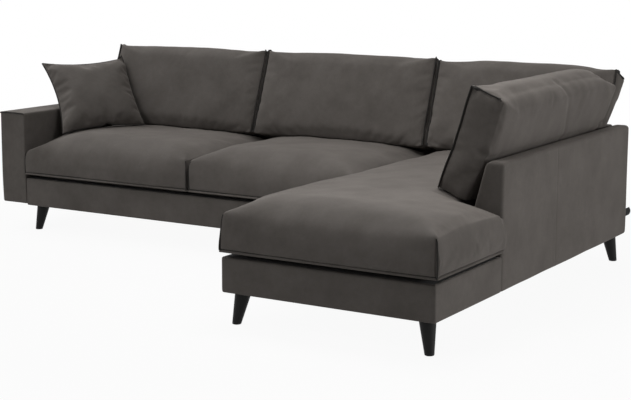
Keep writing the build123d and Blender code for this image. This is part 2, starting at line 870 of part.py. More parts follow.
def back_corner_body(inset):
    """Make the corner's rear cushion, its end cut to the rake of the side panel."""
    with BuildPart() as cushion:
        add(back_body(rear_lean, *back_corner_x, back_squeezed_thickness, inset))
        with BuildSketch(side_lean(back - 2 * far)) as beyond:
            with BuildLine():
                wall = rest_gap + inset
                Polyline((-far, -far), (wall, -far), (wall, 2 * far), (-far, 2 * far), close=True)
            make_face()
        extrude(beyond.sketch, amount=3 * far, mode=Mode.SUBTRACT)
    return cushion.part


def back_side_body(inset):
    """Make the side panel's cushion, its far end cut to stand clear of the corner cushion's way."""
    with BuildPart() as cushion:
        add(back_body(side_lean, panel_front + side_back_setback, back, back_edge_thickness, inset))
        way = back_way(back_corner_x[0], right, back_squeezed_thickness, corner_gap + inset)
        add(way, mode=Mode.SUBTRACT)
    return cushion.part


save_cushion(back_corner_body, "back_corner")
save_cushion(back_side_body, "back_side")


def pillow_frame():
    """Give the pillow's middle plane: its first axis along the pillow, its normal to the front."""
    turn = radians(pillow_turn)
    tilt = radians(pillow_tilt)
    roll = radians(pillow_roll)
    middle = (arm_inner + pillow_from_arm, back - pillow_from_back, seat_top + pillow_above_seat)
    along = (cos(turn) * cos(roll), sin(turn) * cos(roll), sin(roll))
    facing = (sin(turn) * cos(tilt), -cos(turn) * cos(tilt), sin(tilt))
    return Plane(origin=middle, x_dir=along, z_dir=facing)


def seat_way(inset):
    """Make the space that the left seat cushion fills on its way forward."""
    sections = []
    for share in crown_steps:
        place = between(*seat_left_x, share)
        top = seat_height(crown_at(share)) + rest_gap + inset
        with BuildSketch(Plane.YZ.offset(place)) as section:
            with BuildLine():
                Polyline((main_front - far, 0), (back, 0), (back, top), (main_front - far, top), close=True)
            make_face()
        sections.append(section.sketch)
    with BuildPart() as way:
        loft(sections, ruled=True)
    return way.part


def pillow_body(inset):
    """Make the knife-edged pillow, pressed flat where it meets the seat, the back and the arm."""
    frame = pillow_frame()
    half = pillow_size / 2 - inset
    edge = pillow_edge / 2 - inset / 2
    sections = []
    for share in crown_steps:
        crown = crown_at(share)
        place = frame.from_local_coords((between(-half, half, share), 0, 0))
        reach = half - pillow_draw_in * crown
        swell = between(pillow_end_thickness, pillow_thickness, crown) / 2 - inset
        with BuildSketch(Plane(origin=place, x_dir=frame.y_dir, z_dir=frame.x_dir)) as section:
            with BuildLine():
                Line((reach, -edge), (reach, edge))
                ThreePointArc((reach, edge), (0, swell), (-reach, edge))
                Line((-reach, edge), (-reach, -edge))
                ThreePointArc((-reach, -edge), (0, -swell), (reach, -edge))
            make_face()
        sections.append(section.sketch)
    gap = rest_gap + inset
    with BuildPart() as pillow:
        loft(sections, ruled=True)
        add(seat_way(inset), mode=Mode.SUBTRACT)
        add(back_way(*back_left_x, back_edge_thickness, gap), mode=Mode.SUBTRACT)
        board((left - far, arm_inner + gap), (main_front - far, back), (0, arm_top + gap), mode=Mode.SUBTRACT)
    return pillow.part


save_cushion(pillow_body, "throw_pillow")
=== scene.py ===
import json
import math

import bpy
import numpy as np
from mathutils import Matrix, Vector
from mathutils.bvhtree import BVHTree
from mathutils.kdtree import KDTree


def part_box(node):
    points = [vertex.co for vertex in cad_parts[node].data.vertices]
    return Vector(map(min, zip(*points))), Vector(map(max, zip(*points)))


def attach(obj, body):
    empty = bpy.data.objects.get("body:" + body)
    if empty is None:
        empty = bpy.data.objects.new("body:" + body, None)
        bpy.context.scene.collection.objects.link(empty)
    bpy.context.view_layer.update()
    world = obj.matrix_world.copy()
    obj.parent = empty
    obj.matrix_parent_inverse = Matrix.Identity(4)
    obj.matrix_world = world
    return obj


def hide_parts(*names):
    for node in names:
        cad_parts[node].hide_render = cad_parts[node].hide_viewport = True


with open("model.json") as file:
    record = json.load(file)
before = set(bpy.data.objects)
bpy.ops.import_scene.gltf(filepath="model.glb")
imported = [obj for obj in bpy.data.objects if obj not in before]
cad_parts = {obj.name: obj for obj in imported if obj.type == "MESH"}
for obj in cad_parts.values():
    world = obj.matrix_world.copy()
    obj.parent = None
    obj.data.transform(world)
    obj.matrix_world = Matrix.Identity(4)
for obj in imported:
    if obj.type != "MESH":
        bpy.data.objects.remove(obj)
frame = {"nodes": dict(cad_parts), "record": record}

scene = bpy.context.scene
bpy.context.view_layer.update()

# Places read from the solids, in metres
arm_low, arm_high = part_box("arm_cover")
main_low, main_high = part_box("main_base_cover")
chaise_low, chaise_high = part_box("chaise_base_cover")
side_low, side_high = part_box("side_panel_cover")
rear_low, rear_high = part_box("main_back_cover")
corner_low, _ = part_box("chaise_back_cover")
left_low, left_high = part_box("back_left_cover")
middle_low, middle_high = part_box("back_middle_cover")
corner_cushion_low, corner_cushion_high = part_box("back_corner_cover")
side_cushion_low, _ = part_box("back_side_cover")
tag_low, tag_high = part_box("label_tag")
base_bottom, base_top = main_low.z, main_high.z
panel_top = side_high.z
panel_foot = rear_high.y - rear_low.y

# Room between the covers, also along the ways that cushions slide
rest_gap = 0.0003
contact_gap = 0.004
push_reach = 0.05
chaise_travel, chaise_stops = 1.0, 9
lift_travel, lift_stops = 0.35, 6
tiny = 1e-9

# The lean of the back cushions and of the panels behind them
rake = math.radians(15)
lean_sin, lean_cos, lean_tan = math.sin(rake), math.cos(rake), math.tan(rake)
foot_z = left_low.z - rest_gap
foot_rise = (foot_z - base_top) * lean_tan
foot_y = rear_low.y + foot_rise
foot_x = side_low.x + foot_rise

# What all cushions share
fabric_pitch = 0.0125
rim_steps = (0, 0.002, 0.006, 0.012, 0.020, 0.030, 0.041)
notch_steps = rim_steps[:5]
line_room = 0.0035
cushion_corner = 0.006
seam_width = 0.009
still_share = 0.05
facing, squarely = 0.5, 0.9
roll_power = 5
flange_thickness = 0.005
flange_profile = ((-0.5, 1), (0.55, 1), (0.9, 0.75), (1, 0), (0.9, -0.75), (0.55, -1), (-0.5, -1))

# Forms of the seat cushions; a pair goes from the start of its reach to the end
seat_layers = 12
seat_edge, seat_crown = 0.475, 0.035
seat_inset, seat_side_inset, seat_front_inset = 0.005, 0.0025, 0.004
chaise_side_gap = 0.009
notch_rear_gap = 0.006
rear_fall, rear_fall_start = 0.010, 0.35
ledge_gap, least_ledge, ledge_margin = 0.0015, 0.40, 0.03
front_nose, front_edge, front_reach = (0.030, 0.190), (0.450, 0.400), 0.24
side_nose, side_edge, side_reach = (0.025, 0.060), (0.446, 0.454), 0.28
rear_nose, rear_edge = 0.03, 0.43
notch_nose, notch_edge = 0.03, 0.44
beside_nose, beside_drop = 0.020, 0.008
inner_growth, inner_start, inner_reach = 0.075, 0.32, 0.22
corner_dip = (0.024, 0.20, 0.30)
arm_corner_dip = (0.058, 0.30, 0.33)
panel_dip = (0.030, 0.32, 0.45)
front_bulge, hidden_bulge, bulge_power = 0.012, 0.002, 0.6
chaise_left_bulge, chaise_left_reach = (0.002, 0.009), 0.10
chaise_right_bulge, chaise_right_reach = (0.018, 0.012), 0.25
chaise_right_end = 0.002
module_margin = 0.03
seat_held = 0.1
seat_swelling = {"pressure": 3.0, "slack": 0.006, "limit": 0.008}
nose_start, nose_depth, nose_fade = 0.4, 0.12, 0.10
dart_width, dart_fade = 0.004, 0.08
even_share, even_rounds = 0.5, 14
seat_waves = ((0.0022, 0.42, 11), (0.0008, 0.11, 12))
seat_seam = 0.007
seat_welt, welt_recess, welt_slope = 0.024, 0.035, 0.05
welt_height, hidden_welt, welt_tilt = 0.012, 0.004, -0.75
lip_height, hidden_lip, lip_tilt, lip_rise = 0.005, 0.002, 0.1, 0.003
dart_flange, chaise_dart_flange, dart_taper = 0.005, 0.011, 0.5
shown_margin = 0.01
seat_fill = 0.75

# Forms of the back cushions
back_layers = 11
back_edge, back_squeezed, side_growth = 0.178, 0.110, 0.008
back_crown, back_belly, back_taper = 0.010, 0.010, 0.028
back_height, back_top_crown, back_foot = 0.446, 0.014, 0.0005
back_inset, arm_side_inset, chaise_end_inset = 0.009, 0.024, 0.004
corner_inset, side_inset = 0.014, 0.001
split_slant = 0.007
panel_reach = (panel_top - foot_z) / lean_cos
end_reach, free_nose, sewn_nose = 0.16, 0.060, 0.020
top_nose, top_drop = (0.016, 0.066), (0.012, 0.052)
foot_nose, foot_drop = (0.020, 0.040), (0.014, 0.030)
behind_inset, behind_nose, behind_edge = 0.001, 0.020, 0.006
behind_top_nose, behind_top_edge = (0.020, 0.060), (0.008, 0.042)
crease_depth, crease_width = 0.010, 0.013
tuck_depth, tuck_reach, tuck_power = 0.044, 0.25, 0.7
top_bulge, end_hollow = 0.010, 0.004
droop_reach, least_fall, fall_start = 0.22, 0.016, 0.8
behind_held, foot_held = (0.05, 0.18), 0.001
back_swelling = {"pressure": 3.0, "slack": 0.02, "limit": 0.010}
sewn_start, corner_sewn_start = 0.006, 0.36
back_waves = ((0.0028, 0.36, 21), (0.0004, 0.10, 22))
pucker_waves, pucker_reach, pucker_level = ((0.0030, 0.085, 23),), 0.16, 0.45
behind_share, behind_calm, behind_rim = 0.3, 0.3, 0.05
behind_waves, behind_stretch = ((0.0010, 0.100, 24),), (1, 1, 0.3)
behind_start, behind_fade = 0.40, 0.25
rear_seam_top, rear_seam_foot, rear_seam_level = -0.149, -0.277, 0.42
rear_seam_depth, rear_seam_width, rear_seam_start, rear_seam_fade = 0.007, 0.010, 0.36, 0.06
back_seam, back_flange = 0.003, 0.009
tip_growth, tip_reach = 0.15, 3.0
back_fill = 0.65

# Where the corner and side cushions meet
corner_gap = 0.004
corner_end_x = corner_cushion_high.x - 0.003
corner_overhang, corner_overhang_depth = 0.042, 0.12
corner_face = foot_y - 0.128 / lean_cos - 0.012
side_start = -side_cushion_low.y
wrap_depth, wrap_start, wrap_fade, wrap_reach = 0.055, 0.15, 0.10, 0.07

# Form and place of the throw pillow
pillow_half = 0.237
pillow_swell, pillow_power, pillow_edge = 0.064, 0.42, 0.0022
pillow_pitch, pillow_steps = 0.010, (0, 0.003, 0.008, 0.015)
pillow_top_heavy, pillow_draw = 0.22, 0.120
pinch_place, pinch_width, pinch_rise, pinch_flat = 0.02, 0.024, 0.014, 0.35
tuck_in, tuck_up = 0.022, 0.012
pillow_swelling = {"pressure": 2.2, "slack": 0.04, "limit": 0.018}
pillow_waves, edge_waves = ((0.0016, 0.16, 31),), ((0.0012, 0.055, 32),)
edge_place, edge_still = 0.022, 0.004
pillow_seat_gap, pillow_arm_gap, pillow_lip = 0.004, 0.003, 0.004
pillow_turn, pillow_tilt, pillow_roll = math.radians(55), math.radians(43), math.radians(4)
pillow_middle = np.array([arm_high.x + 0.098, rear_high.y - 0.464, 0.677])
pillow_fill = 0.6

# Forms of the upholstered frame; edges go left, right, low and high, or left, right, front and rear
frame_pitch, frame_steps = 0.02, (0, 0.002, 0.005, 0.010, 0.018)
frame_fill = 0.9
panel_layers = 8
panel_noses, panel_drops = (0.014, 0.008, 0.010, 0.022), (0.014, 0.008, 0.010, 0.020)
outer_noses = (0.010, 0.014, 0.010, 0.016)
panel_corner, side_panel_corner = 0.012, 0.016
panel_waves = ((0.0007, 0.28, 41),)
side_seam, seam_lines = -0.112, (-0.006, -0.002, 0.0, 0.002, 0.006)
groove_depth, groove_width, groove_start = 0.0013, 0.0022, 0.01
arm_layers, arm_pitch = 22, 0.018
arm_crown, arm_sink, arm_bulge, arm_corner = 0.003, 0.002, 0.004, 0.008
arm_noses, arm_drops = (0.005, 0.010, 0.005, 0.016), (0.005, 0.009, 0.005, 0.016)
arm_waves = ((0.0008, 0.24, 42),)
arm_flange, arm_flange_tilt = 0.006, 0.8
low_edge = 0.008
band_layers, band_corner, cover_wall = 9, 0.007, 0.012
band_steps = (0, 0.0015, 0.004, 0.008, cover_wall)
band_waves = ((0.0007, 0.30, 43),)
tag_pitch, tag_layers, tag_root, tag_bend = 0.004, 2, 0.012, 0.007


# Meshes

def spread(low, high, pitch, ends=(0,)):
    """Places from low to high about a pitch apart, closer together by given steps at both ends."""
    steps = [step for step in ends if step < (high - low) / 3]
    count = max(1, round((high - low - 2 * steps[-1]) / pitch))
    middle = np.linspace(low + steps[-1], high - steps[-1], count + 1)
    lows = [low + step for step in steps[:-1]]
    highs = [high - step for step in reversed(steps[:-1])]
    return np.array([*lows, *middle, *highs])


def with_lines(places, extra):
    """Places with some more among them, and none of the old ones right beside a new one."""
    kept = [p for p in places if min(abs(p - e) for e in extra) > line_room]
    return np.array(sorted([*kept, *extra]))


class Slab:
    """A closed quad mesh over a plan of lattice cells: a top, an underside and walls in layers."""

    def __init__(self, xs, ys, layers, inside=None):
        self.xs, self.ys, self.top_layer = xs, ys, layers
        self.index = {}
        points, self.faces, pushes = [], [], {}
        shares = np.linspace(0, 1, layers + 1)

        def at(i, j, k):
            key = (i, j, k)
            if key not in self.index:
                self.index[key] = len(points)
                points.append((xs[i], ys[j], shares[k]))
            return self.index[key]

        cells = set()
        for i in range(len(xs) - 1):
            for j in range(len(ys) - 1):
                if inside is None or inside((xs[i] + xs[i + 1]) / 2, (ys[j] + ys[j + 1]) / 2):
                    cells.add((i, j))
        sides = (
            ((0, -1), (0, 0), (1, 0)),
            ((1, 0), (1, 0), (1, 1)),
            ((0, 1), (1, 1), (0, 1)),
            ((-1, 0), (0, 1), (0, 0)),
        )
        for i, j in sorted(cells):
            around = ((i, j), (i + 1, j), (i + 1, j + 1), (i, j + 1))
            self.faces.append([at(*spot, layers) for spot in around])
            self.faces.append([at(*spot, 0) for spot in (around[0], *around[:0:-1])])
            for out, start, end in sides:
                if (i + out[0], j + out[1]) in cells:
                    continue
                first, second = (i + start[0], j + start[1]), (i + end[0], j + end[1])
                for k in range(layers):
                    quad = [at(*first, k), at(*second, k), at(*second, k + 1), at(*first, k + 1)]
                    self.faces.append(quad)
                    for vertex in quad:
                        pushes.setdefault(vertex, set()).add(out)
        table = np.array(points)
        self.plan, self.share = table[:, :2].copy(), table[:, 2].copy()
        self.outward = np.zeros((len(points), 2))
        for vertex, outs in pushes.items():
            push = np.sum(list(outs), axis=0).astype(float)
            self.outward[vertex] = push / max(tiny, np.linalg.norm(push))
        self.rim = np.array(sorted(pushes))

    def runs(self):
        """How far the plan's points lie from its left, right, near and far sides."""
        x, y = self.plan.T
        return x - self.xs[0], self.xs[-1] - x, y - self.ys[0], self.ys[-1] - y

    def rounded(self, radius, bulge=0):
        """The plan with round corners, and with its walls pushed out by a bulge."""
        low, high = np.array((self.xs[0], self.ys[0])), np.array((self.xs[-1], self.ys[-1]))
        core = np.clip(self.plan, low + radius, high - radius)
        out = self.plan - core
        length = np.linalg.norm(out, axis=1)
        square = np.abs(out).max(axis=1)
        scale = np.where(length > tiny, square / np.maximum(length, tiny), 1)
        return core + out * scale[:, None] + self.outward * np.reshape(bulge, (-1, 1))

    def column(self, i, j):
        """Indices of a wall's corner, from the underside to the top."""
        return [self.index[(i % len(self.xs), j % len(self.ys), k)] for k in range(self.top_layer + 1)]

    def ring(self, k, notch=None):
        """Indices once round the plan's edge at one layer, with any notch at its far right corner."""
        last_i, last_j = len(self.xs) - 1, len(self.ys) - 1
        notch_i, notch_j = last_i, last_j
        if notch:
            notch_i = int(np.argmin(np.abs(self.xs - notch[0])))
            notch_j = int(np.argmin(np.abs(self.ys - notch[1])))
        path = [(i, 0) for i in range(last_i)] + [(last_i, j) for j in range(notch_j)]
        path += [(i, notch_j) for i in range(last_i, notch_i, -1)]
        path += [(notch_i, j) for j in range(notch_j, last_j)]
        path += [(i, last_j) for i in range(notch_i, 0, -1)] + [(0, j) for j in range(last_j, 0, -1)]
        return [self.index[(i, j, k)] for i, j in path]


def between(ends, share):
    """From the first of two values to the second by a share."""
    return ends[0] + (ends[1] - ends[0]) * share


def rise(share):
    """A quarter round: nought at the rim and one where the surface has levelled."""
    return np.sqrt(1 - (1 - np.clip(share, 0, 1)) ** 2)


def rolled(full, runs, noses, edges):
    """A surface that falls from its full height to an edge height at each rim."""
    fall = 0
    for run, nose, edge in zip(runs, noses, edges):
        fall = fall + (np.maximum(full - edge, 0) * (1 - rise(run / nose))) ** roll_power
    return full - fall ** (1 / roll_power)


def soften(distance, reach):
    """Nought at a rim, rising smoothly to one at a reach from it."""
    share = np.clip(distance / reach, 0, 1)
    return share * share * (3 - 2 * share)


def hump(distance, width):
    """One at a place, falling smoothly to nought at a few widths from it."""
    return np.exp(-(distance / width) ** 2)


def crown_at(share):
    """How full a cushion is at a share of its length."""
    return 1 - np.abs(2 * np.clip(share, 0, 1) - 1) ** 3


def dent(dip, across, along):
    """How far a corner sinks at distances from its two sides; a dip is a depth and two reaches."""
    depth, across_reach, along_reach = dip
    return depth * (1 - soften(across, across_reach)) * (1 - soften(along, along_reach))


def from_notch(x, y, notch):
    """How far places lie from a notch at a plan's far right corner."""
    return np.hypot(np.maximum(notch[0] - x, 0), np.maximum(notch[1] - y, 0))


def drawn(across, start, end, limit):
    """Places from a start to an end, drawn out so that the end comes to a limit."""
    return start + (across - start) * (limit - start) / (end - start)


def ripple(points, size, seed, count=9):
    """A smooth uneven wave over points, about one high, from seeded sine waves of about one size."""
    draw = np.random.default_rng(seed)
    total = np.zeros(len(points))
    for _ in range(count):
        direction = draw.normal(size=3)
        direction *= 2 * math.pi / (np.linalg.norm(direction) * size * draw.uniform(0.7, 1.5))
        total += np.sin(points @ direction + draw.uniform(0, 2 * math.pi))
    return total / math.sqrt(count)


def waves(points, kinds):
    """Uneven waves over points; each kind is a height, a size and a seed."""
    return sum(height * ripple(points, size, seed) for height, size, seed in kinds)


def build(name, points, faces):
    """A smooth mesh object in the scene."""
    mesh = bpy.data.meshes.new(name)
    mesh.from_pydata([tuple(p) for p in points], [], faces)
    mesh.update()
    mesh.shade_smooth()
    piece = bpy.data.objects.new(name, mesh)
    scene.collection.objects.link(piece)
    return piece


def rows_of(items, key):
    """A vector of each item as an array."""
    flat = np.zeros(len(items) * 3)
    items.foreach_get(key, flat)
    return flat.reshape(-1, 3)


def places_of(piece):
    """A mesh's points as an array."""
    return rows_of(piece.data.vertices, "co")


def normals_of(piece):
    """A mesh's point normals as an array."""
    return rows_of(piece.data.vertex_normals, "vector")


def move_to(piece, points):
    """Put a mesh's points at new places."""
    piece.data.vertices.foreach_set("co", np.ascontiguousarray(points).ravel())
    piece.data.update()


def raise_by(piece, lift):
    """Move a mesh's points along their normals."""
    move_to(piece, places_of(piece) + normals_of(piece) * lift[:, None])


def sew(piece, seams, depth):
    """Draw a cover in along its seams, so that it swells on both sides of them."""
    points = places_of(piece)
    sewn = sorted({n for seam in seams for n in seam})
    tree = KDTree(len(sewn))
    for n in sewn:
        tree.insert(points[n], n)
    tree.balance()
    away = np.array([tree.find(p)[2] for p in points])
    raise_by(piece, -depth * hump(away, seam_width))


def relax(piece, faces, share, rounds):
    """Even out a mesh: draw each point towards the middle of its neighbours by a share."""
    points = places_of(piece)
    quads = np.array(faces)
    starts = np.concatenate([quads, quads], axis=1).ravel()
    ends = np.concatenate([np.roll(quads, 1, 1), np.roll(quads, -1, 1)], axis=1).ravel()
    count = np.bincount(starts, minlength=len(points))[:, None]
    for _ in range(rounds):
        total = np.column_stack([np.bincount(starts, points[ends, k], len(points)) for k in range(3)])
        points = points + share[:, None] * (total / count - points)
    move_to(piece, points)


def evened(table, rounds=6):
    """A run of vectors, each drawn towards those beside it."""
    for _ in range(rounds):
        inner = (table[:-2] + 2 * table[1:-1] + table[2:]) / 4
        table = np.vstack([table[:1], inner, table[-1:]])
    return table


def push_clear(piece, obstacles, gap, travel=(0, 0, 0), stops=1):
    """Move a cover's points out of its neighbours, also where these stop along their travel."""
    points = places_of(piece)
    for obstacle in obstacles:
        faces = [tuple(face.vertices) for face in obstacle.data.polygons]
        tree = BVHTree.FromPolygons([Vector(p) for p in places_of(obstacle)], faces)
        for share in np.linspace(0, 1, stops):
            moved = Vector(travel) * share
            for n, point in enumerate(points):
                spot = Vector(point) - moved
                nearest, normal, _, _ = tree.find_nearest(spot, push_reach)
                if nearest is not None and (spot - nearest).dot(normal) < gap:
                    points[n] = nearest + normal * gap + moved
    move_to(piece, points)


def unit(vectors):
    """Vectors brought to a length of one."""
    return vectors / np.maximum(np.linalg.norm(vectors, axis=1), tiny)[:, None]


def fins(name, runs):
    """Sewn flanges: thin lips along runs of points, each with its outward directions and height."""
    points, faces = [], []
    rows = len(flange_profile)
    for path, outward, height, closed in runs:
        path, outward = np.array(path), np.array(outward)
        count, first = len(path), len(points)
        if closed:
            along = np.roll(path, -1, 0) - np.roll(path, 1, 0)
        else:
            along = np.gradient(path, axis=0)
        along = unit(along)
        outward = unit(outward - along * (outward * along).sum(1)[:, None])
        across = np.cross(along, outward)
        tall = np.broadcast_to(np.asarray(height, float), (count,))
        for out, side in flange_profile:
            points.extend(path + outward * (out * tall)[:, None] + across * (side * flange_thickness / 2))
        for r in range(rows):
            here, there = first + r * count, first + (r + 1) % rows * count
            for n in range(count if closed else count - 1):
                after = (n + 1) % count
                faces.append([here + n, there + n, there + after, here + after])
        if not closed:
            faces.append([first + r * count for r in range(rows)])
            faces.append([first + r * count + count - 1 for r in reversed(range(rows))])
    return build(name, points, faces)


# Cloth

waiting = []


def swell(piece, held, swelling):
    """Put a cushion's cover down for simulation: held points stay, and none moves past the limit."""
    waiting.append((piece, held, swelling))


def run_cloth(frames=16):
    """Let all covers settle under the pressure of their filling, and keep the result in the meshes."""
    for piece, held, swelling in waiting:
        group = piece.vertex_groups.new(name="held")
        group.add([int(n) for n in held], 1, "REPLACE")
        cloth = piece.modifiers.new("Cloth", "CLOTH")
        cloth.point_cache.frame_end = frames
        settings = cloth.settings
        settings.quality = 5
        settings.mass = 0.3
        settings.tension_stiffness = 15
        settings.compression_stiffness = 15
        settings.shear_stiffness = 5
        settings.bending_stiffness = 0.5
        settings.air_damping = 1
        settings.use_pressure = True
        settings.uniform_pressure_force = swelling["pressure"]
        settings.shrink_min = -swelling["slack"]
        settings.vertex_group_mass = "held"
        settings.effector_weights.gravity = 0
    for number in range(1, frames + 1):
        scene.frame_set(number)
    graph = bpy.context.evaluated_depsgraph_get()
    for piece, _, swelling in waiting:
        start, limit = places_of(piece), swelling["limit"]
        settled = piece.evaluated_get(graph)
        moved = rows_of(settled.to_mesh().vertices, "co") - start
        settled.to_mesh_clear()
        length = np.maximum(np.linalg.norm(moved, axis=1), tiny)
        move_to(piece, start + moved * (limit * np.tanh(length / limit) / length)[:, None])
    for piece, *_ in waiting:
        piece.modifiers.remove(piece.modifiers["Cloth"])
        piece.vertex_groups.clear()
    scene.frame_set(1)


# Materials

def add_node(tree, kind, inputs=(), **settings):
    """A shader node with its settings, and its inputs set or linked."""
    made = tree.nodes.new(kind)
    for key, value in settings.items():
        setattr(made, key, value)
    for socket, value in dict(inputs).items():
        if isinstance(value, bpy.types.NodeSocket):
            tree.links.new(value, made.inputs[socket])
        else:
            made.inputs[socket].default_value = value
    return made


def new_material(name):
    """A material with a Principled shader, and its object coordinates."""
    made = bpy.data.materials.new(name)
    made.use_nodes = True
    tree = made.node_tree
    shader = tree.nodes["Principled BSDF"]
    place = add_node(tree, "ShaderNodeTexCoord").outputs["Object"]
    return made, tree, shader, place


def noise(tree, place, scale, detail=3.0, roughness=0.55):
    """The value of a noise texture of a scale, in repeats to the metre."""
    inputs = {"Vector": place, "Scale": scale, "Detail": detail, "Roughness": roughness}
    return add_node(tree, "ShaderNodeTexNoise", inputs).outputs["Fac"]


def stretched(tree, place, scale):
    """Coordinates scaled differently along their axes."""
    return add_node(tree, "ShaderNodeMapping", {"Vector": place, "Scale": scale}).outputs["Vector"]


def tones(tree, value, dark, light, margin=0.3):
    """A colour from dark to light by a value, level within a margin of both ends."""
    made = add_node(tree, "ShaderNodeValToRGB", {"Fac": value})
    for element, place, colour in zip(made.color_ramp.elements, (margin, 1 - margin), (dark, light)):
        element.position = place
        element.color = (*colour, 1)
    return made.outputs["Color"]


def times(tree, first, second):
    """One colour times another."""
    inputs = {0: 1.0, 6: first, 7: second}
    return add_node(tree, "ShaderNodeMix", inputs, data_type="RGBA", blend_type="MULTIPLY").outputs[2]


def math_node(tree, operation, *values):
    """A sum on values."""
    return add_node(tree, "ShaderNodeMath", enumerate(values), operation=operation).outputs[0]


def finish_shader(tree, shader, colour, uneven, span, least, **levels):
    """Link a shader's colour and its roughness, from an uneven value, and set its plain levels."""
    tree.links.new(colour, shader.inputs["Base Color"])
    rough = math_node(tree, "MULTIPLY_ADD", uneven, span, least)
    tree.links.new(rough, shader.inputs["Roughness"])
    for name, level in levels.items():
        shader.inputs[name].default_value = level


def bump(tree, shader, height, distance, strength):
    """Raise the surface by a height value."""
    made = add_node(tree, "ShaderNodeBump", {"Height": height, "Distance": distance, "Strength": strength})
    tree.links.new(made.outputs["Normal"], shader.inputs["Normal"])


def brushed_fabric(name, dark, light):
    """Brushed microfibre: cloudy nap, fine pile and a soft sheen."""
    made, tree, shader, place = new_material(name)
    nap = noise(tree, place, 6, 5, 0.6)
    strokes = noise(tree, place, 38, 4, 0.65)
    pile = noise(tree, place, 900, 2, 0.6)
    tone = tones(tree, nap, dark, light)
    marks = tones(tree, strokes, grey(0.9), grey(1.07), 0.25)
    grain = tones(tree, pile, grey(0.84), grey(1.14), 0.2)
    levels = {"Specular IOR Level": 0.25, "Sheen Weight": 0.22, "Sheen Roughness": 0.45}
    finish_shader(tree, shader, times(tree, times(tree, tone, marks), grain), strokes, 0.2, 0.72, **levels)
    shader.inputs["Sheen Tint"].default_value = (0.62, 0.56, 0.51, 1)
    height = math_node(tree, "MULTIPLY_ADD", strokes, 2.0, pile)
    bump(tree, shader, height, 0.0007, 0.5)
    return made


def plain_weave(name, dark, light, pitch, roughness):
    """A woven cloth or webbing: crossed threads of a pitch, with uneven yarn."""
    made, tree, shader, place = new_material(name)
    bands_to_pitch = 3.18
    threads = []
    for axis in ("X", "Y"):
        inputs = {"Vector": place, "Scale": 1 / (pitch * bands_to_pitch), "Distortion": 0.4, "Detail": 1.0}
        wave = add_node(tree, "ShaderNodeTexWave", inputs, wave_type="BANDS", bands_direction=axis)
        threads.append(wave.outputs["Fac"])
    weave = math_node(tree, "MAXIMUM", *threads)
    yarn = noise(tree, place, 120, 4)
    value = math_node(tree, "MULTIPLY_ADD", yarn, 0.5, math_node(tree, "MULTIPLY", weave, 0.5))
    levels = {"Specular IOR Level": 0.15}
    finish_shader(tree, shader, tones(tree, value, dark, light, 0.25), yarn, 0.15, roughness, **levels)
    bump(tree, shader, weave, pitch * 0.3, 0.6)
    return made


def felt(name, dark, light):
    """Pressed felt: tangled fibres and clouds."""
    made, tree, shader, place = new_material(name)
    fibres = noise(tree, place, 420, 6, 0.75)
    clouds = noise(tree, place, 18, 3)
    value = math_node(tree, "MULTIPLY_ADD", fibres, 0.6, math_node(tree, "MULTIPLY", clouds, 0.4))
    finish_shader(tree, shader, tones(tree, value, dark, light), clouds, 0.1, 0.88)
    bump(tree, shader, fibres, 0.001, 0.5)
    return made


def timber(name, dark, light, roughness, shine):
    """Sawn softwood or lacquered wood: grain along the longest way of its noise."""
    made, tree, shader, place = new_material(name)
    along = stretched(tree, place, (9, 9, 1.2))
    grain = noise(tree, along, 9, 6, 0.6)
    pores = noise(tree, along, 60, 3, 0.6)
    levels = {"Specular IOR Level": shine}
    finish_shader(tree, shader, tones(tree, grain, dark, light), pores, 0.16, roughness, **levels)
    bump(tree, shader, pores, 0.0004, 0.35)
    return made


def brushed_metal(name, dark, light):
    """Zinc plated steel with a fine brushed grain and faint stains."""
    made, tree, shader, place = new_material(name)
    grain = noise(tree, stretched(tree, place, (1, 14, 14)), 60, 3)
    stains = noise(tree, place, 40, 3)
    finish_shader(tree, shader, tones(tree, stains, dark, light), grain, 0.2, 0.28, Metallic=1)
    bump(tree, shader, grain, 0.0002, 0.3)
    return made


def moulded_plastic(name, dark, light):
    """Moulded plastic with a fine spark texture."""
    made, tree, shader, place = new_material(name)
    spark = noise(tree, place, 1400, 2)
    clouds = noise(tree, place, 60, 2)
    finish_shader(tree, shader, tones(tree, clouds, dark, light), spark, 0.15, 0.45)
    bump(tree, shader, spark, 0.0003, 0.4)
    return made


def grey(level):
    """A grey of a level."""
    return level, level, level


taupe = (0.090, 0.080, 0.072), (0.128, 0.115, 0.105)
makers = {
    "upholstery": (brushed_fabric, *taupe),
    "pillow_fabric": (brushed_fabric, *taupe),
    # The flange finish below is the upholstery's taupe darkened nearly to black: painted shade standing in
    # for the shadow in the grooves beside the sewn flanges
    "seam_fabric": (brushed_fabric, (0.012, 0.011, 0.010), (0.022, 0.020, 0.018)),
    "leg_black": (timber, grey(0.006), grey(0.010), 0.45, 0.15),
    "wood": (timber, (0.42, 0.27, 0.15), (0.58, 0.41, 0.25), 0.62, 0.4),
    "steel": (brushed_metal, (0.46, 0.46, 0.45), (0.60, 0.60, 0.58)),
    "webbing": (plain_weave, (0.020, 0.020, 0.022), (0.055, 0.053, 0.050), 0.003, 0.7),
    "felt": (felt, (0.030, 0.030, 0.032), (0.075, 0.072, 0.070)),
    "dust_cloth": (plain_weave, grey(0.008), grey(0.022), 0.002, 0.75),
    "foam": (felt, (0.55, 0.49, 0.36), (0.68, 0.62, 0.48)),
    "black_paint": (moulded_plastic, grey(0.004), grey(0.007)),
    "glide_plastic": (moulded_plastic, grey(0.015), grey(0.028)),
    "tag_cloth": (plain_weave, grey(0.006), grey(0.016), 0.0012, 0.65),
}
finishes = {name: make(name, *values) for name, (make, *values) in makers.items()}


def dress(piece, slot_name, body, *stands_for, finish=None):
    """Give a piece the finish of its slot or another named one, hide the solids it stands for and hang it on
    the body it moves with.
    """
    piece.data.materials.clear()
    piece.data.materials.append(finishes[finish or slot_name])
    if stands_for:
        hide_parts(*stands_for)
    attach(piece, body)


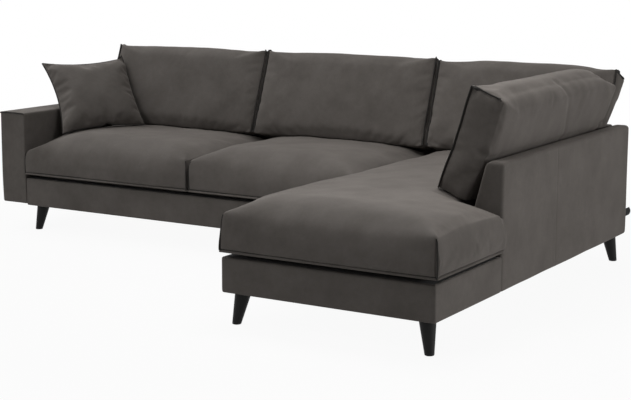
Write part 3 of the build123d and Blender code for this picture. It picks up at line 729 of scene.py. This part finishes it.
def dress_padded(piece, fill, slot_name, body, *stands_for):
    """Round a padded cover with one more level of faces and dress it; the fill is not used."""
    modifier = piece.modifiers.new("Subdivision", "SUBSURF")
    modifier.levels = 1
    modifier.render_levels = 1
    dress(piece, slot_name, body, *stands_for)


# Seat cushions

def seat_cushion(body, low, high, dips, notch=None):
    """A seat cushion over its base: crowned, rolled over its edges, with corner darts and a welt."""
    xs = spread(low[0], high[0], fabric_pitch, rim_steps)
    ys = spread(low[1], high[1], fabric_pitch, rim_steps)
    inside = None
    if notch:
        notch_x, notch_y = notch
        xs = with_lines(xs, [notch_x - step for step in notch_steps])
        ys = with_lines(ys, [notch_y - step for step in notch_steps])
        inside = lambda x, y: x < notch_x or y < notch_y
    slab = Slab(xs, ys, seat_layers, inside)
    x, y = slab.plan.T
    from_left, from_right, from_front, _ = runs = slab.runs()
    full = seat_edge + seat_crown * crown_at(from_left / (high[0] - low[0]))
    full = full - rear_fall * np.clip(from_front / (high[1] - low[1]) - rear_fall_start, 0, 1)
    for run, dip in zip((from_left, from_right), dips):
        full = full - dent(dip, run, from_front)
    full = np.minimum(full, foot_z + (foot_y - y) * lean_tan - ledge_gap)
    front_soft = soften(np.minimum(from_left, from_right), front_reach)
    side_soft = soften(from_front, side_reach)
    left_nose, left_edge = between(side_nose, side_soft), between(side_edge, side_soft)
    right_nose, right_edge = left_nose, left_edge
    if body == "seat_middle":
        right_nose = right_nose + inner_growth * soften(from_front - inner_start, inner_reach)
    run = np.min(runs, axis=0)
    rims, noses, edges = list(runs), [rear_nose], [rear_edge]
    if notch:
        beside = y > main_low.y
        left_nose = np.where(beside, beside_nose, left_nose)
        left_edge = np.where(beside, full - beside_drop, left_edge)
        full = full - dent(panel_dip, from_right, notch_y - y)
        side_ledge = np.maximum(foot_z + (foot_x - x) * lean_tan - ledge_gap, least_ledge)
        full = np.where(y > notch_y - ledge_margin, np.minimum(full, side_ledge), full)
        away = from_notch(x, y, notch)
        run = np.minimum(run, away)
        rims.append(away)
        noses.append(notch_nose)
        edges.append(notch_edge)
    noses = [left_nose, right_nose, between(front_nose, front_soft), *noses]
    edges = [left_edge, right_edge, between(front_edge, front_soft), *edges]
    top = rolled(full, rims, noses, edges)
    underside = base_top + rest_gap
    welt_z = base_top + seat_welt
    bottom = underside + (welt_z - underside) * (1 - rise((run - welt_recess) / welt_slope))
    out_x, out_y = slab.outward.T
    free = np.where(out_y < -facing, front_bulge, hidden_bulge)
    if notch:
        by_left = between(chaise_left_bulge, soften(main_low.y - module_margin - y, chaise_left_reach))
        by_panel = between(chaise_right_bulge, soften(notch_y - y, chaise_right_reach))
        free = np.where(out_x < -facing, by_left, free)
        free = np.where((out_x > facing) & (y < notch_y - chaise_right_end), by_panel, free)
    plan = slab.rounded(cushion_corner, np.sin(math.pi * slab.share) ** bulge_power * free)
    points = np.column_stack([plan, between((bottom, top), slab.share)])
    piece = build(f"{body}_cushion", points, slab.faces)
    swell(piece, np.flatnonzero(slab.share < seat_held), seat_swelling)
    return piece, slab, notch


def finish_seat(piece, slab, body, notch):
    """Wrinkle a seat cushion's settled cover and sew its flanges on."""
    from_left, from_right, from_front, _ = slab.runs()
    nose = (1 - soften(from_front - nose_depth, nose_fade)) * (slab.share > nose_start)
    by_dart = soften(np.minimum(from_left, from_right) - dart_width, dart_fade)
    relax(piece, slab.faces, even_share * nose * by_dart, even_rounds)
    lift = waves(places_of(piece), seat_waves)
    raise_by(piece, np.where(slab.share > still_share, lift, 0))
    ring = slab.ring(0, notch)
    darts = [slab.column(i, j) for i, j in ((0, 0), (-1, 0))]
    sew(piece, [ring, *darts], seat_seam)
    points = places_of(piece)
    out_x, out_y = slab.outward[ring].T
    y = slab.plan[ring, 1]
    shown = out_y < -facing
    if notch:
        shown = shown | (out_x > facing) & (y < notch[1] - shown_margin)
        shown = shown | (out_x < -facing) & (y < main_low.y - module_margin)
    outward, level_out = [
        np.column_stack([slab.outward[ring], np.full(len(ring), tilt)]) for tilt in (welt_tilt, lip_tilt)
    ]
    welt = fins(f"{body}_welt", [(points[ring], outward, np.where(shown, welt_height, hidden_welt), True)])
    tall = np.where(shown, lip_height, hidden_lip)
    runs = [(points[ring] + (0, 0, lip_rise), level_out, tall, True)]
    for column in darts:
        outward = np.column_stack([slab.outward[column], np.zeros(len(column))])
        tall = (chaise_dart_flange if notch else dart_flange) * np.linspace(1, dart_taper, len(column))
        runs.append((points[column], outward, tall, False))
    lips = fins(f"{body}_flanges", runs)
    dress_padded(piece, seat_fill, "upholstery", body, f"{body}_cover", f"{body}_filling")
    dress(welt, "upholstery", body)
    # The seat's lip and darts take the near-black flange finish: painted shade for the shadowed seams
    dress(lips, "upholstery", body, finish="seam_fabric")


seats = {}
right_insets = {"seat_left": seat_side_inset, "seat_middle": chaise_side_gap, "chaise_seat": 0}
chaise_notch = (side_low.x + seat_welt * lean_tan - seat_inset, side_low.y - notch_rear_gap)
for body, right_inset in right_insets.items():
    low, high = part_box(f"{body}_cover")
    near_left = (low.x + seat_side_inset, low.y + seat_front_inset)
    far_right = (high.x - right_inset, high.y - seat_inset)
    dips = (arm_corner_dip if body == "seat_left" else corner_dip, corner_dip)
    notch = chaise_notch if body == "chaise_seat" else None
    seats[body] = seat_cushion(body, near_left, far_right, dips, notch)


# Back cushions

def on_lean(up, out):
    """How far behind its panel's foot, and how high, a place on the lean is."""
    return up * lean_sin - out * lean_cos, foot_z + up * lean_cos + out * lean_sin


def rear_place(along, up, out):
    """From a place on the rear panels' lean to the room."""
    behind, z = on_lean(up, out)
    return np.column_stack([along, foot_y + behind, z])


def side_place(along, up, out):
    """From a place on the side panel's lean to the room."""
    behind, z = on_lean(up, out)
    return np.column_stack([foot_x + behind, -along, z])


def end_slant(fixed, leaning):
    """A stretch that leans one end of a cushion to the right as it rises, while its other end stays."""
    def stretch(across, up, _):
        return across + split_slant * (across - fixed) / (leaning - fixed) * up / back_height
    return stretch


def corner_stretch(across, up, out):
    """Draw the corner cushion's right end along the side panel's lean, and upright above it."""
    limit = foot_x + lean_tan * (up * lean_cos + out * lean_sin) - corner_gap
    overhang = corner_overhang * np.clip(1 - out / corner_overhang_depth, 0, 1)
    limit = np.minimum(limit, corner_end_x + overhang)
    return drawn(across, corner_low.x, foot_x - corner_gap, limit)


def side_stretch(across, up, out):
    """Draw the side cushion's far end along the corner cushion's lean."""
    wrap = wrap_depth * soften(up - wrap_start, wrap_fade) * np.clip(1 - out / wrap_reach, 0, 1)
    limit = -(corner_face + lean_tan * (up * lean_cos + out * lean_sin) + wrap)
    return drawn(across, side_start, -corner_face, limit)


def back_cushion(
    body, place, low, high, depths, stretch,
    sewn=(sewn_start, sewn_start), droops=(0, 0), falls=(least_fall, least_fall), tucks=(1, 1),
):
    """A back cushion on its leaning panel: full at the front, soft at the top, flat at its ends."""
    along = spread(low, high, fabric_pitch, rim_steps)
    ups = spread(back_foot, back_height, fabric_pitch, rim_steps)
    slab = Slab(along, ups, back_layers)
    from_low, from_high, _, from_top = slab.runs()
    up = slab.plan[:, 1]
    share, level = from_low / (high - low), up / back_height
    crown, middle = crown_at(share), np.sin(math.pi * level)
    soft = soften(np.minimum(from_low, from_high), end_reach)
    full = between(depths, share) + back_crown * crown - back_taper * level + back_belly * crown * middle
    end_noses = [free_nose if start is None else sewn_nose for start in sewn]
    noses = [*end_noses, between(top_nose, soft), between(foot_nose, soft)]
    drops = [end_noses[0] / 2, end_noses[1] / 2, between(top_drop, soft), between(foot_drop, soft)]
    front = rolled(full, (from_low, from_high, from_top, up), noses, [full - drop for drop in drops])
    noses = (behind_nose, behind_nose, between(behind_top_nose, soft))
    edges = (-behind_edge, -behind_edge, -between(behind_top_edge, soft))
    rear = -rolled(np.full(len(up), -behind_inset), (from_low, from_high, from_top), noses, edges)
    rear = rear + crease_depth * hump(up - panel_reach, crease_width)
    tucked = np.clip(1 - up / panel_reach, 0, 1) ** tuck_power
    near_low, near_high = 1 - soften(from_low, tuck_reach), 1 - soften(from_high, tuck_reach)
    rear = rear + tuck_depth * tucked * (tucks[0] * near_low + tucks[1] * near_high)
    out = between((rear, front), slab.share)
    over_top = slab.outward[:, 1] > squarely
    at_end = np.abs(slab.outward[:, 0]) > squarely
    bulge = np.sin(math.pi * slab.share) * (top_bulge * soft * over_top - end_hollow * middle * at_end)
    plan = slab.rounded(cushion_corner, bulge)
    at_low, at_high = 1 - soften(from_low, droop_reach), 1 - soften(from_high, droop_reach)
    fall = np.maximum(least_fall, falls[0] * at_low + falls[1] * at_high)
    slope = fall * (1 - slab.share) * soften(level - fall_start, 1 - fall_start)
    droop = level * (droops[0] * at_low + droops[1] * at_high)
    height = plan[:, 1] * (1 + back_top_crown / back_height * crown) - slope - droop
    points = place(stretch(plan[:, 0], height, out), height, out)
    piece = build(f"{body}_cushion", points, slab.faces)
    on_panel = (slab.share == 0) & (up > behind_held[0]) & (up < behind_held[1])
    held = np.flatnonzero(on_panel | (up < foot_held))
    swell(piece, [*held, *(n for seam in end_seams(slab, sewn) for n in seam)], back_swelling)
    return piece, slab, sewn


def end_seams(slab, sewn):
    """Indices of the seams at a back cushion's sewn ends: up the front from a start, and over the top."""
    last = len(slab.ys) - 1
    seams = []
    for i, start in zip((0, len(slab.xs) - 1), sewn):
        if start is None:
            continue
        front = [slab.index[(i, j, slab.top_layer)] for j in range(last) if slab.ys[j] >= start]
        over = [slab.index[(i, last, k)] for k in range(slab.top_layer, 0, -1)]
        seams.append(front + over)
    return seams


def finish_back(piece, slab, sewn, body, obstacles, slider=None):
    """Wrinkle a back cushion's settled cover, keep it clear of its neighbours and sew its flanges on."""
    points = places_of(piece)
    across, level = slab.plan[:, 0], slab.plan[:, 1] / back_height
    reach = np.min(slab.runs()[:2], axis=0)
    low_corner = hump(reach, pucker_reach) * hump(level, pucker_level)
    lift = waves(points, back_waves) + low_corner * waves(points, pucker_waves)
    lift = np.where(slab.share > still_share, lift, behind_calm * lift)
    behind = slab.share < behind_share
    upper = behind * soften(level - behind_start, behind_fade) * soften(reach, behind_rim)
    lift += upper * waves(points * behind_stretch, behind_waves)
    if body == "back_side":
        seam = between((rear_seam_top, rear_seam_foot), (1 - level) / (1 - rear_seam_level))
        groove = hump(across - seam, rear_seam_width) * soften(level - rear_seam_start, rear_seam_fade)
        lift -= rear_seam_depth * behind * groove
    raise_by(piece, lift)
    seams = end_seams(slab, sewn)
    sew(piece, seams, back_seam)
    push_clear(piece, obstacles, contact_gap)
    if slider is not None:
        push_clear(piece, (slider,), contact_gap, (0, -chaise_travel, 0), chaise_stops)
    points, normals = places_of(piece), normals_of(piece)
    runs = []
    for path in seams:
        tip = hump(np.arange(len(path)) - (len(path) - slab.top_layer), tip_reach)
        runs.append((points[path], evened(normals[path]), back_flange * (1 + tip_growth * tip), False))
    lips = fins(f"{body}_flanges", runs)
    dress_padded(piece, back_fill, "upholstery", body, f"{body}_cover", f"{body}_filling")
    # The back cushion's flanges take the near-black flange finish: painted shade for the shadowed seams
    dress(lips, "upholstery", body, finish="seam_fabric")


backs = {
    "back_left": back_cushion(
        "back_left", rear_place, left_low.x + arm_side_inset, left_high.x - back_inset,
        (back_edge, back_edge), end_slant(left_low.x, left_high.x),
    ),
    "back_middle": back_cushion(
        "back_middle", rear_place, middle_low.x + back_inset, middle_high.x - chaise_end_inset,
        (back_edge, back_edge), end_slant(middle_high.x, middle_low.x),
    ),
    "back_corner": back_cushion(
        "back_corner", rear_place, corner_cushion_low.x + corner_inset, foot_x - corner_gap,
        (back_edge, back_squeezed), corner_stretch,
        sewn=(sewn_start, corner_sewn_start), droops=(0.012, 0.004), falls=(least_fall, 0.036), tucks=(1, 0),
    ),
    "back_side": back_cushion(
        "back_side", side_place, -corner_face, side_start - side_inset,
        (back_edge, back_edge + side_growth), side_stretch,
        sewn=(None, sewn_start), droops=(0.022, 0), falls=(0.030, least_fall), tucks=(0, 1),
    ),
}


# Throw pillow

def pillow_frame():
    """The pillow's axes: along it, up it and out of its front."""
    along = np.array([
        math.cos(pillow_turn) * math.cos(pillow_roll),
        math.sin(pillow_turn) * math.cos(pillow_roll),
        math.sin(pillow_roll),
    ])
    out = np.array([
        math.sin(pillow_turn) * math.cos(pillow_tilt),
        -math.cos(pillow_turn) * math.cos(pillow_tilt),
        math.sin(pillow_tilt),
    ])
    along = along - out * (along @ out)
    along /= np.linalg.norm(along)
    return along, np.cross(out, along), out


def throw_pillow():
    """A knife edged pillow, swollen between its corners and pinched at its lower edge."""
    lines = spread(-pillow_half, pillow_half, pillow_pitch, pillow_steps)
    slab = Slab(lines, lines, 1)
    u, v = (slab.plan / pillow_half).T
    middle = np.clip((1 - u ** 2) * (1 - v ** 2), 0, 1)
    low = np.clip(-v, 0, 1)
    thick = pillow_swell * middle ** pillow_power * (1 - pillow_top_heavy * v) + pillow_edge
    x = slab.plan[:, 0] * (1 - pillow_draw * (1 - v ** 2) * u ** 2)
    y = slab.plan[:, 1] * (1 - pillow_draw * (1 - u ** 2) * v ** 2)
    pinch = hump(slab.plan[:, 0] - pinch_place, pinch_width) * low ** 3
    tuck = np.clip(u, 0, 1) ** 2 * low ** 2
    x = x - tuck_in * tuck
    y = y + pinch_rise * pinch + tuck_up * tuck
    z = thick * (1 - pinch_flat * pinch) * (2 * slab.share - 1)
    along, upward, out = pillow_frame()
    points = pillow_middle + x[:, None] * along + y[:, None] * upward + z[:, None] * out
    piece = build("throw_pillow_cushion", points, slab.faces)
    swell(piece, slab.rim, pillow_swelling)
    return piece, slab


def finish_pillow(piece, slab, back, seat, seat_xs):
    """Wrinkle the pillow, keep it clear of what it leans on and sew its edge."""
    points = places_of(piece)
    edge = np.min(slab.runs(), axis=0)
    lift = waves(points, pillow_waves) + hump(edge - edge_place, edge_place) * waves(points, edge_waves)
    raise_by(piece, np.where(edge > edge_still, lift, 0))
    points = places_of(piece)
    share = (points[:, 0] - seat_xs[0]) / (seat_xs[-1] - seat_xs[0])
    seat_z = seat_edge + seat_crown * crown_at(share) + pillow_seat_gap
    points[:, 2] = np.maximum(points[:, 2], seat_z)
    arm_x, arm_z = arm_high.x + pillow_arm_gap, arm_high.z + pillow_arm_gap
    within = (points[:, 0] < arm_x) & (points[:, 2] < arm_z)
    over = within & (arm_z - points[:, 2] < arm_x - points[:, 0])
    beside = within & ~over
    points[over, 2] = arm_z
    points[beside, 0] = arm_x
    move_to(piece, points)
    push_clear(piece, (back, seat), 2 * contact_gap)
    lifted = (0, lift_travel * lean_sin, lift_travel * lean_cos)
    push_clear(piece, (back,), 2 * contact_gap, lifted, lift_stops)
    points = places_of(piece)
    line = (points[slab.ring(0)] + points[slab.ring(1)]) / 2
    lips = fins("throw_pillow_flanges", [(line, line - pillow_middle, pillow_lip, True)])
    body = "throw_pillow"
    dress_padded(piece, pillow_fill, "pillow_fabric", body, f"{body}_cover", f"{body}_filling")
    # The pillow's edge flange takes the near-black flange finish: painted shade for the shadowed seam
    dress(lips, "pillow_fabric", body, finish="seam_fabric")


pillow = throw_pillow()


# Upholstered frame

def upholstered_panel(name, node, place, low, high, corner, seams=(), stretch=None):
    """A padded panel: upright outside, raked inside, with soft edges and sewn lines."""
    along = spread(low, high, frame_pitch, frame_steps)
    if seams:
        along = with_lines(along, [seam + offset for seam in seams for offset in seam_lines])
    ups = with_lines(spread(base_bottom, panel_top, frame_pitch, frame_steps), [base_top])
    slab = Slab(along, ups, panel_layers)
    a, z = slab.plan.T
    runs = slab.runs()
    full = panel_foot - np.maximum(z - base_top, 0) * lean_tan
    front = rolled(full, runs, panel_noses, [full - drop for drop in panel_drops])
    rear = np.cbrt(sum((nose * (1 - rise(run / nose))) ** 3 for run, nose in zip(runs, outer_noses)))
    for seam in seams:
        groove = hump(a - seam, groove_width) * np.clip((z - base_bottom) / groove_start, 0, 1)
        rear = rear + groove_depth * groove * (slab.share == 0)
    across, up = slab.rounded(corner).T
    if stretch is not None:
        across = stretch(across, up)
    piece = build(name, place(across, up, between((rear, front), slab.share)), slab.faces)
    raise_by(piece, waves(places_of(piece), panel_waves))
    dress_padded(piece, frame_fill, "upholstery", "root", node)
    return piece


def rear_panel_place(along, up, out):
    """From a place on the rear panels' outside to the room."""
    return np.column_stack([along, rear_high.y - out, up])


def side_panel_place(along, up, out):
    """From a place on the side panel's outside to the room."""
    return np.column_stack([side_high.x - out, -along, up])


def corner_end(across, up):
    """Draw the chaise back's right end along the side panel's lean."""
    limit = side_low.x + np.maximum(up - base_top, 0) * lean_tan
    return drawn(across, corner_low.x, side_low.x, limit)


main_back = upholstered_panel(
    "main_back_upholstery", "main_back_cover", rear_panel_place, rear_low.x, rear_high.x, panel_corner
)
chaise_back = upholstered_panel(
    "chaise_back_upholstery", "chaise_back_cover", rear_panel_place, corner_low.x, side_low.x, panel_corner,
    stretch=corner_end,
)
side_panel = upholstered_panel(
    "side_panel_upholstery", "side_panel_cover", side_panel_place, -side_high.y, -side_low.y,
    side_panel_corner, seams=(side_seam,),
)


def arm():
    """The padded arm, with its sewn lip along the top's outer and front edges."""
    xs = spread(arm_low.x, arm_high.x, arm_pitch, frame_steps)
    ys = spread(arm_low.y, arm_high.y, frame_pitch, frame_steps)
    slab = Slab(xs, ys, arm_layers)
    runs = slab.runs()
    full = arm_high.z + arm_crown * crown_at(runs[0] / (arm_high.x - arm_low.x)) - arm_sink
    top = rolled(full, runs, arm_noses, [full - drop for drop in arm_drops])
    bottom = arm_low.z + low_edge * (1 - rise(np.min(runs, axis=0) / low_edge))
    bulge = arm_bulge * np.sin(math.pi * slab.share) * (np.abs(slab.outward[:, 1]) > facing)
    points = np.column_stack([slab.rounded(arm_corner, bulge), between((bottom, top), slab.share)])
    piece = build("arm_upholstery", points, slab.faces)
    raise_by(piece, waves(points, arm_waves))
    points = places_of(piece)
    outer = [slab.index[(0, j, arm_layers)] for j in range(len(ys) - 1, -1, -1)]
    front = [slab.index[(i, 0, arm_layers)] for i in range(len(xs))]
    runs = []
    for path, way in ((outer, (-1, 0, arm_flange_tilt)), (front, (0, -1, arm_flange_tilt))):
        runs.append((points[path], np.tile(way, (len(path), 1)), arm_flange, False))
    lips = fins("arm_flanges", runs)
    dress_padded(piece, frame_fill, "upholstery", "root", "arm_cover")
    # The arm's lips take the near-black flange finish: painted shade for the shadowed seams
    dress(lips, "upholstery", "root", finish="seam_fabric")


arm()


def base_band(name, node, low, high, notch=None):
    """The cloth round a base: a band with soft edges, open inside for the frame."""
    xs = spread(low.x, high.x, frame_pitch, band_steps)
    ys = spread(low.y, high.y, frame_pitch, band_steps)
    if notch:
        xs = with_lines(xs, [notch[0] - step for step in band_steps])
        ys = with_lines(ys, [notch[1] - step for step in band_steps])

    def run_in(x, y):
        run = np.min([x - low.x, high.x - x, y - low.y, high.y - y], axis=0)
        if notch:
            cut_out = (x > notch[0]) & (y > notch[1])
            run = np.minimum(run, np.where(cut_out, -1.0, from_notch(x, y, notch)))
        return run

    slab = Slab(xs, ys, band_layers, lambda x, y: 0 < run_in(x, y) < cover_wall)
    soft = low_edge * (1 - rise(np.maximum(run_in(*slab.plan.T), 0) / low_edge))
    z = base_bottom + soft + slab.share * (base_top - base_bottom - 2 * soft)
    points = np.column_stack([slab.rounded(band_corner), z])
    piece = build(name, points, slab.faces)
    lift = waves(points, band_waves) * (slab.share > 0) * (slab.share < 1)
    move_to(piece, points + np.column_stack([slab.outward, np.zeros(len(points))]) * lift[:, None])
    dress_padded(piece, frame_fill, "upholstery", "root", node)


base_band("main_base_upholstery", "main_base_cover", main_low, main_high)
base_band("chaise_base_upholstery", "chaise_base_cover", chaise_low, chaise_high, (side_low.x, side_low.y))


def plain_tag():
    """The plain folded cloth tab at the rear corner, sewn in where the panel is round."""
    reach, tall = tag_high.y - tag_low.y, tag_high.z - tag_low.z
    slab = Slab(spread(0, reach, tag_pitch), spread(tag_low.z, tag_high.z, tag_pitch), tag_layers)
    a, z = slab.plan.T
    bend = tag_bend * (a / reach) ** 2 * np.sin((z - tag_low.z) / tall * math.pi)
    x = tag_low.x + (tag_high.x - tag_low.x) * slab.share + bend
    y = tag_low.y - tag_root + a * (reach + tag_root) / reach
    piece = build("plain_tag", np.column_stack([x, y, z]), [face[::-1] for face in slab.faces])
    dress(piece, "tag_cloth", "root", "label_tag")


plain_tag()

# Settle the covers and dress them, each clear of what it leans on and of what slides past it
run_cloth()
for body, (piece, slab, notch) in seats.items():
    finish_seat(piece, slab, body, notch)
left_seat, middle_seat, chaise_seat = [piece for piece, _, _ in seats.values()]
left_back, corner_back = backs["back_left"][0], backs["back_corner"][0]
leans_on = {
    "back_left": (main_back, left_seat),
    "back_middle": (main_back, left_seat, middle_seat),
    "back_corner": (chaise_back, side_panel, chaise_seat),
    "back_side": (side_panel, chaise_seat, corner_back),
}
for body, (piece, slab, sewn) in backs.items():
    finish_back(piece, slab, sewn, body, leans_on[body], chaise_seat if body == "back_side" else None)
finish_pillow(*pillow, left_back, left_seat, seats["seat_left"][1].xs)

# Finishes of the solids that show as they are
for entry in frame["record"]["subparts"]:
    solid = frame["nodes"][entry["node"]]
    solid.data.materials.clear()
    painted = entry["node"] in ("leg_plates", "leg_plate_screws")
    solid.data.materials.append(finishes["black_paint" if painted else entry["material_slot"]])

# Stage
floor_half, floor_drop = 40, 0.0005
floor_mesh = bpy.data.meshes.new("floor")
corners = [(x * floor_half, y * floor_half, 0) for x, y in ((-1, -1), (1, -1), (1, 1), (-1, 1))]
floor_mesh.from_pydata(corners, [], [(0, 1, 2, 3)])
floor = bpy.data.objects.new("floor", floor_mesh)
floor.location.z = -floor_drop
scene.collection.objects.link(floor)


def seen_share(tree):
    """One for the rays that show the background: from the camera, a reflection or through glass."""
    path = add_node(tree, "ShaderNodeLightPath")
    first = math_node(tree, "MAXIMUM", path.outputs["Is Camera Ray"], path.outputs["Is Glossy Ray"])
    return math_node(tree, "MAXIMUM", first, path.outputs["Is Transmission Ray"])


def blended(tree, share, first, second):
    """Two shaders mixed by a share."""
    inputs = {0: share, 1: first.outputs[0], 2: second.outputs[0]}
    return add_node(tree, "ShaderNodeMixShader", inputs).outputs[0]


floor_finish = bpy.data.materials.new("floor")
floor_finish.use_nodes = True
tree = floor_finish.node_tree
tree.nodes.clear()
matt = add_node(tree, "ShaderNodeBsdfDiffuse", {"Color": (0.62, 0.62, 0.62, 1)})
glow = add_node(tree, "ShaderNodeEmission", {"Color": (1, 1, 1, 1), "Strength": 1.0})
spot = add_node(tree, "ShaderNodeTexCoord").outputs["Object"]
away = add_node(tree, "ShaderNodeVectorMath", {0: spot}, operation="LENGTH").outputs["Value"]
fade_range = {"Value": away, "From Min": 1.8, "From Max": 4.5, "To Min": 0.94, "To Max": 1.0}
fade = add_node(tree, "ShaderNodeMapRange", fade_range).outputs["Result"]
share = math_node(tree, "MULTIPLY", seen_share(tree), fade)
add_node(tree, "ShaderNodeOutputMaterial", {"Surface": blended(tree, share, matt, glow)})
floor_mesh.materials.append(floor_finish)

world = bpy.data.worlds.new("studio")
scene.world = world
world.use_nodes = True
tree = world.node_tree
tree.nodes.clear()
ambient = add_node(tree, "ShaderNodeBackground", {"Color": (1, 1, 1, 1), "Strength": 0.12})
white = add_node(tree, "ShaderNodeBackground", {"Color": (1, 1, 1, 1), "Strength": 1.0})
add_node(tree, "ShaderNodeOutputWorld", {"Surface": blended(tree, seen_share(tree), ambient, white)})


def soft_light(name, place, target, size, power):
    """A large soft lamp that looks at a point."""
    data = bpy.data.lights.new(name, "AREA")
    data.shape = "SQUARE"
    data.size = size
    data.energy = power
    lamp = bpy.data.objects.new(name, data)
    lamp.location = place
    lamp.rotation_euler = (Vector(target) - Vector(place)).to_track_quat("-Z", "Y").to_euler()
    scene.collection.objects.link(lamp)


soft_light("top_light", (-0.8, 2.2, 6.0), (0.4, 0.2, 0.4), size=4.0, power=50)
soft_light("front_light", (-2.0, -4.0, 4.5), (-0.2, 0.0, 0.5), size=2.5, power=76)
soft_light("left_light", (-4.0, 0.5, 3.5), (0.2, 0.2, 0.5), size=2.0, power=78)
soft_light("right_light", (5.2, 0.2, 0.9), (1.0, -0.1, 0.5), size=1.2, power=58)
soft_light("chaise_light", (1.05, -0.50, 2.2), (1.05, -0.50, 0.5), size=0.8, power=19)

camera_right, camera_front, camera_height = 2.2572, 4.4794, 1.4555
camera_dip, camera_turn = math.radians(9.903), math.radians(31.637)
camera_data = bpy.data.cameras.new("camera")
camera_data.lens = 82.126
camera_data.sensor_width = 36
camera_data.sensor_fit = "HORIZONTAL"
camera_data.clip_end = 200
camera = bpy.data.objects.new("camera", camera_data)
camera.location = (side_high.x + camera_right, chaise_low.y - camera_front, camera_height)
camera.rotation_euler = (math.pi / 2 - camera_dip, 0, camera_turn)
scene.collection.objects.link(camera)
scene.camera = camera
scene.view_settings.view_transform = "Standard"
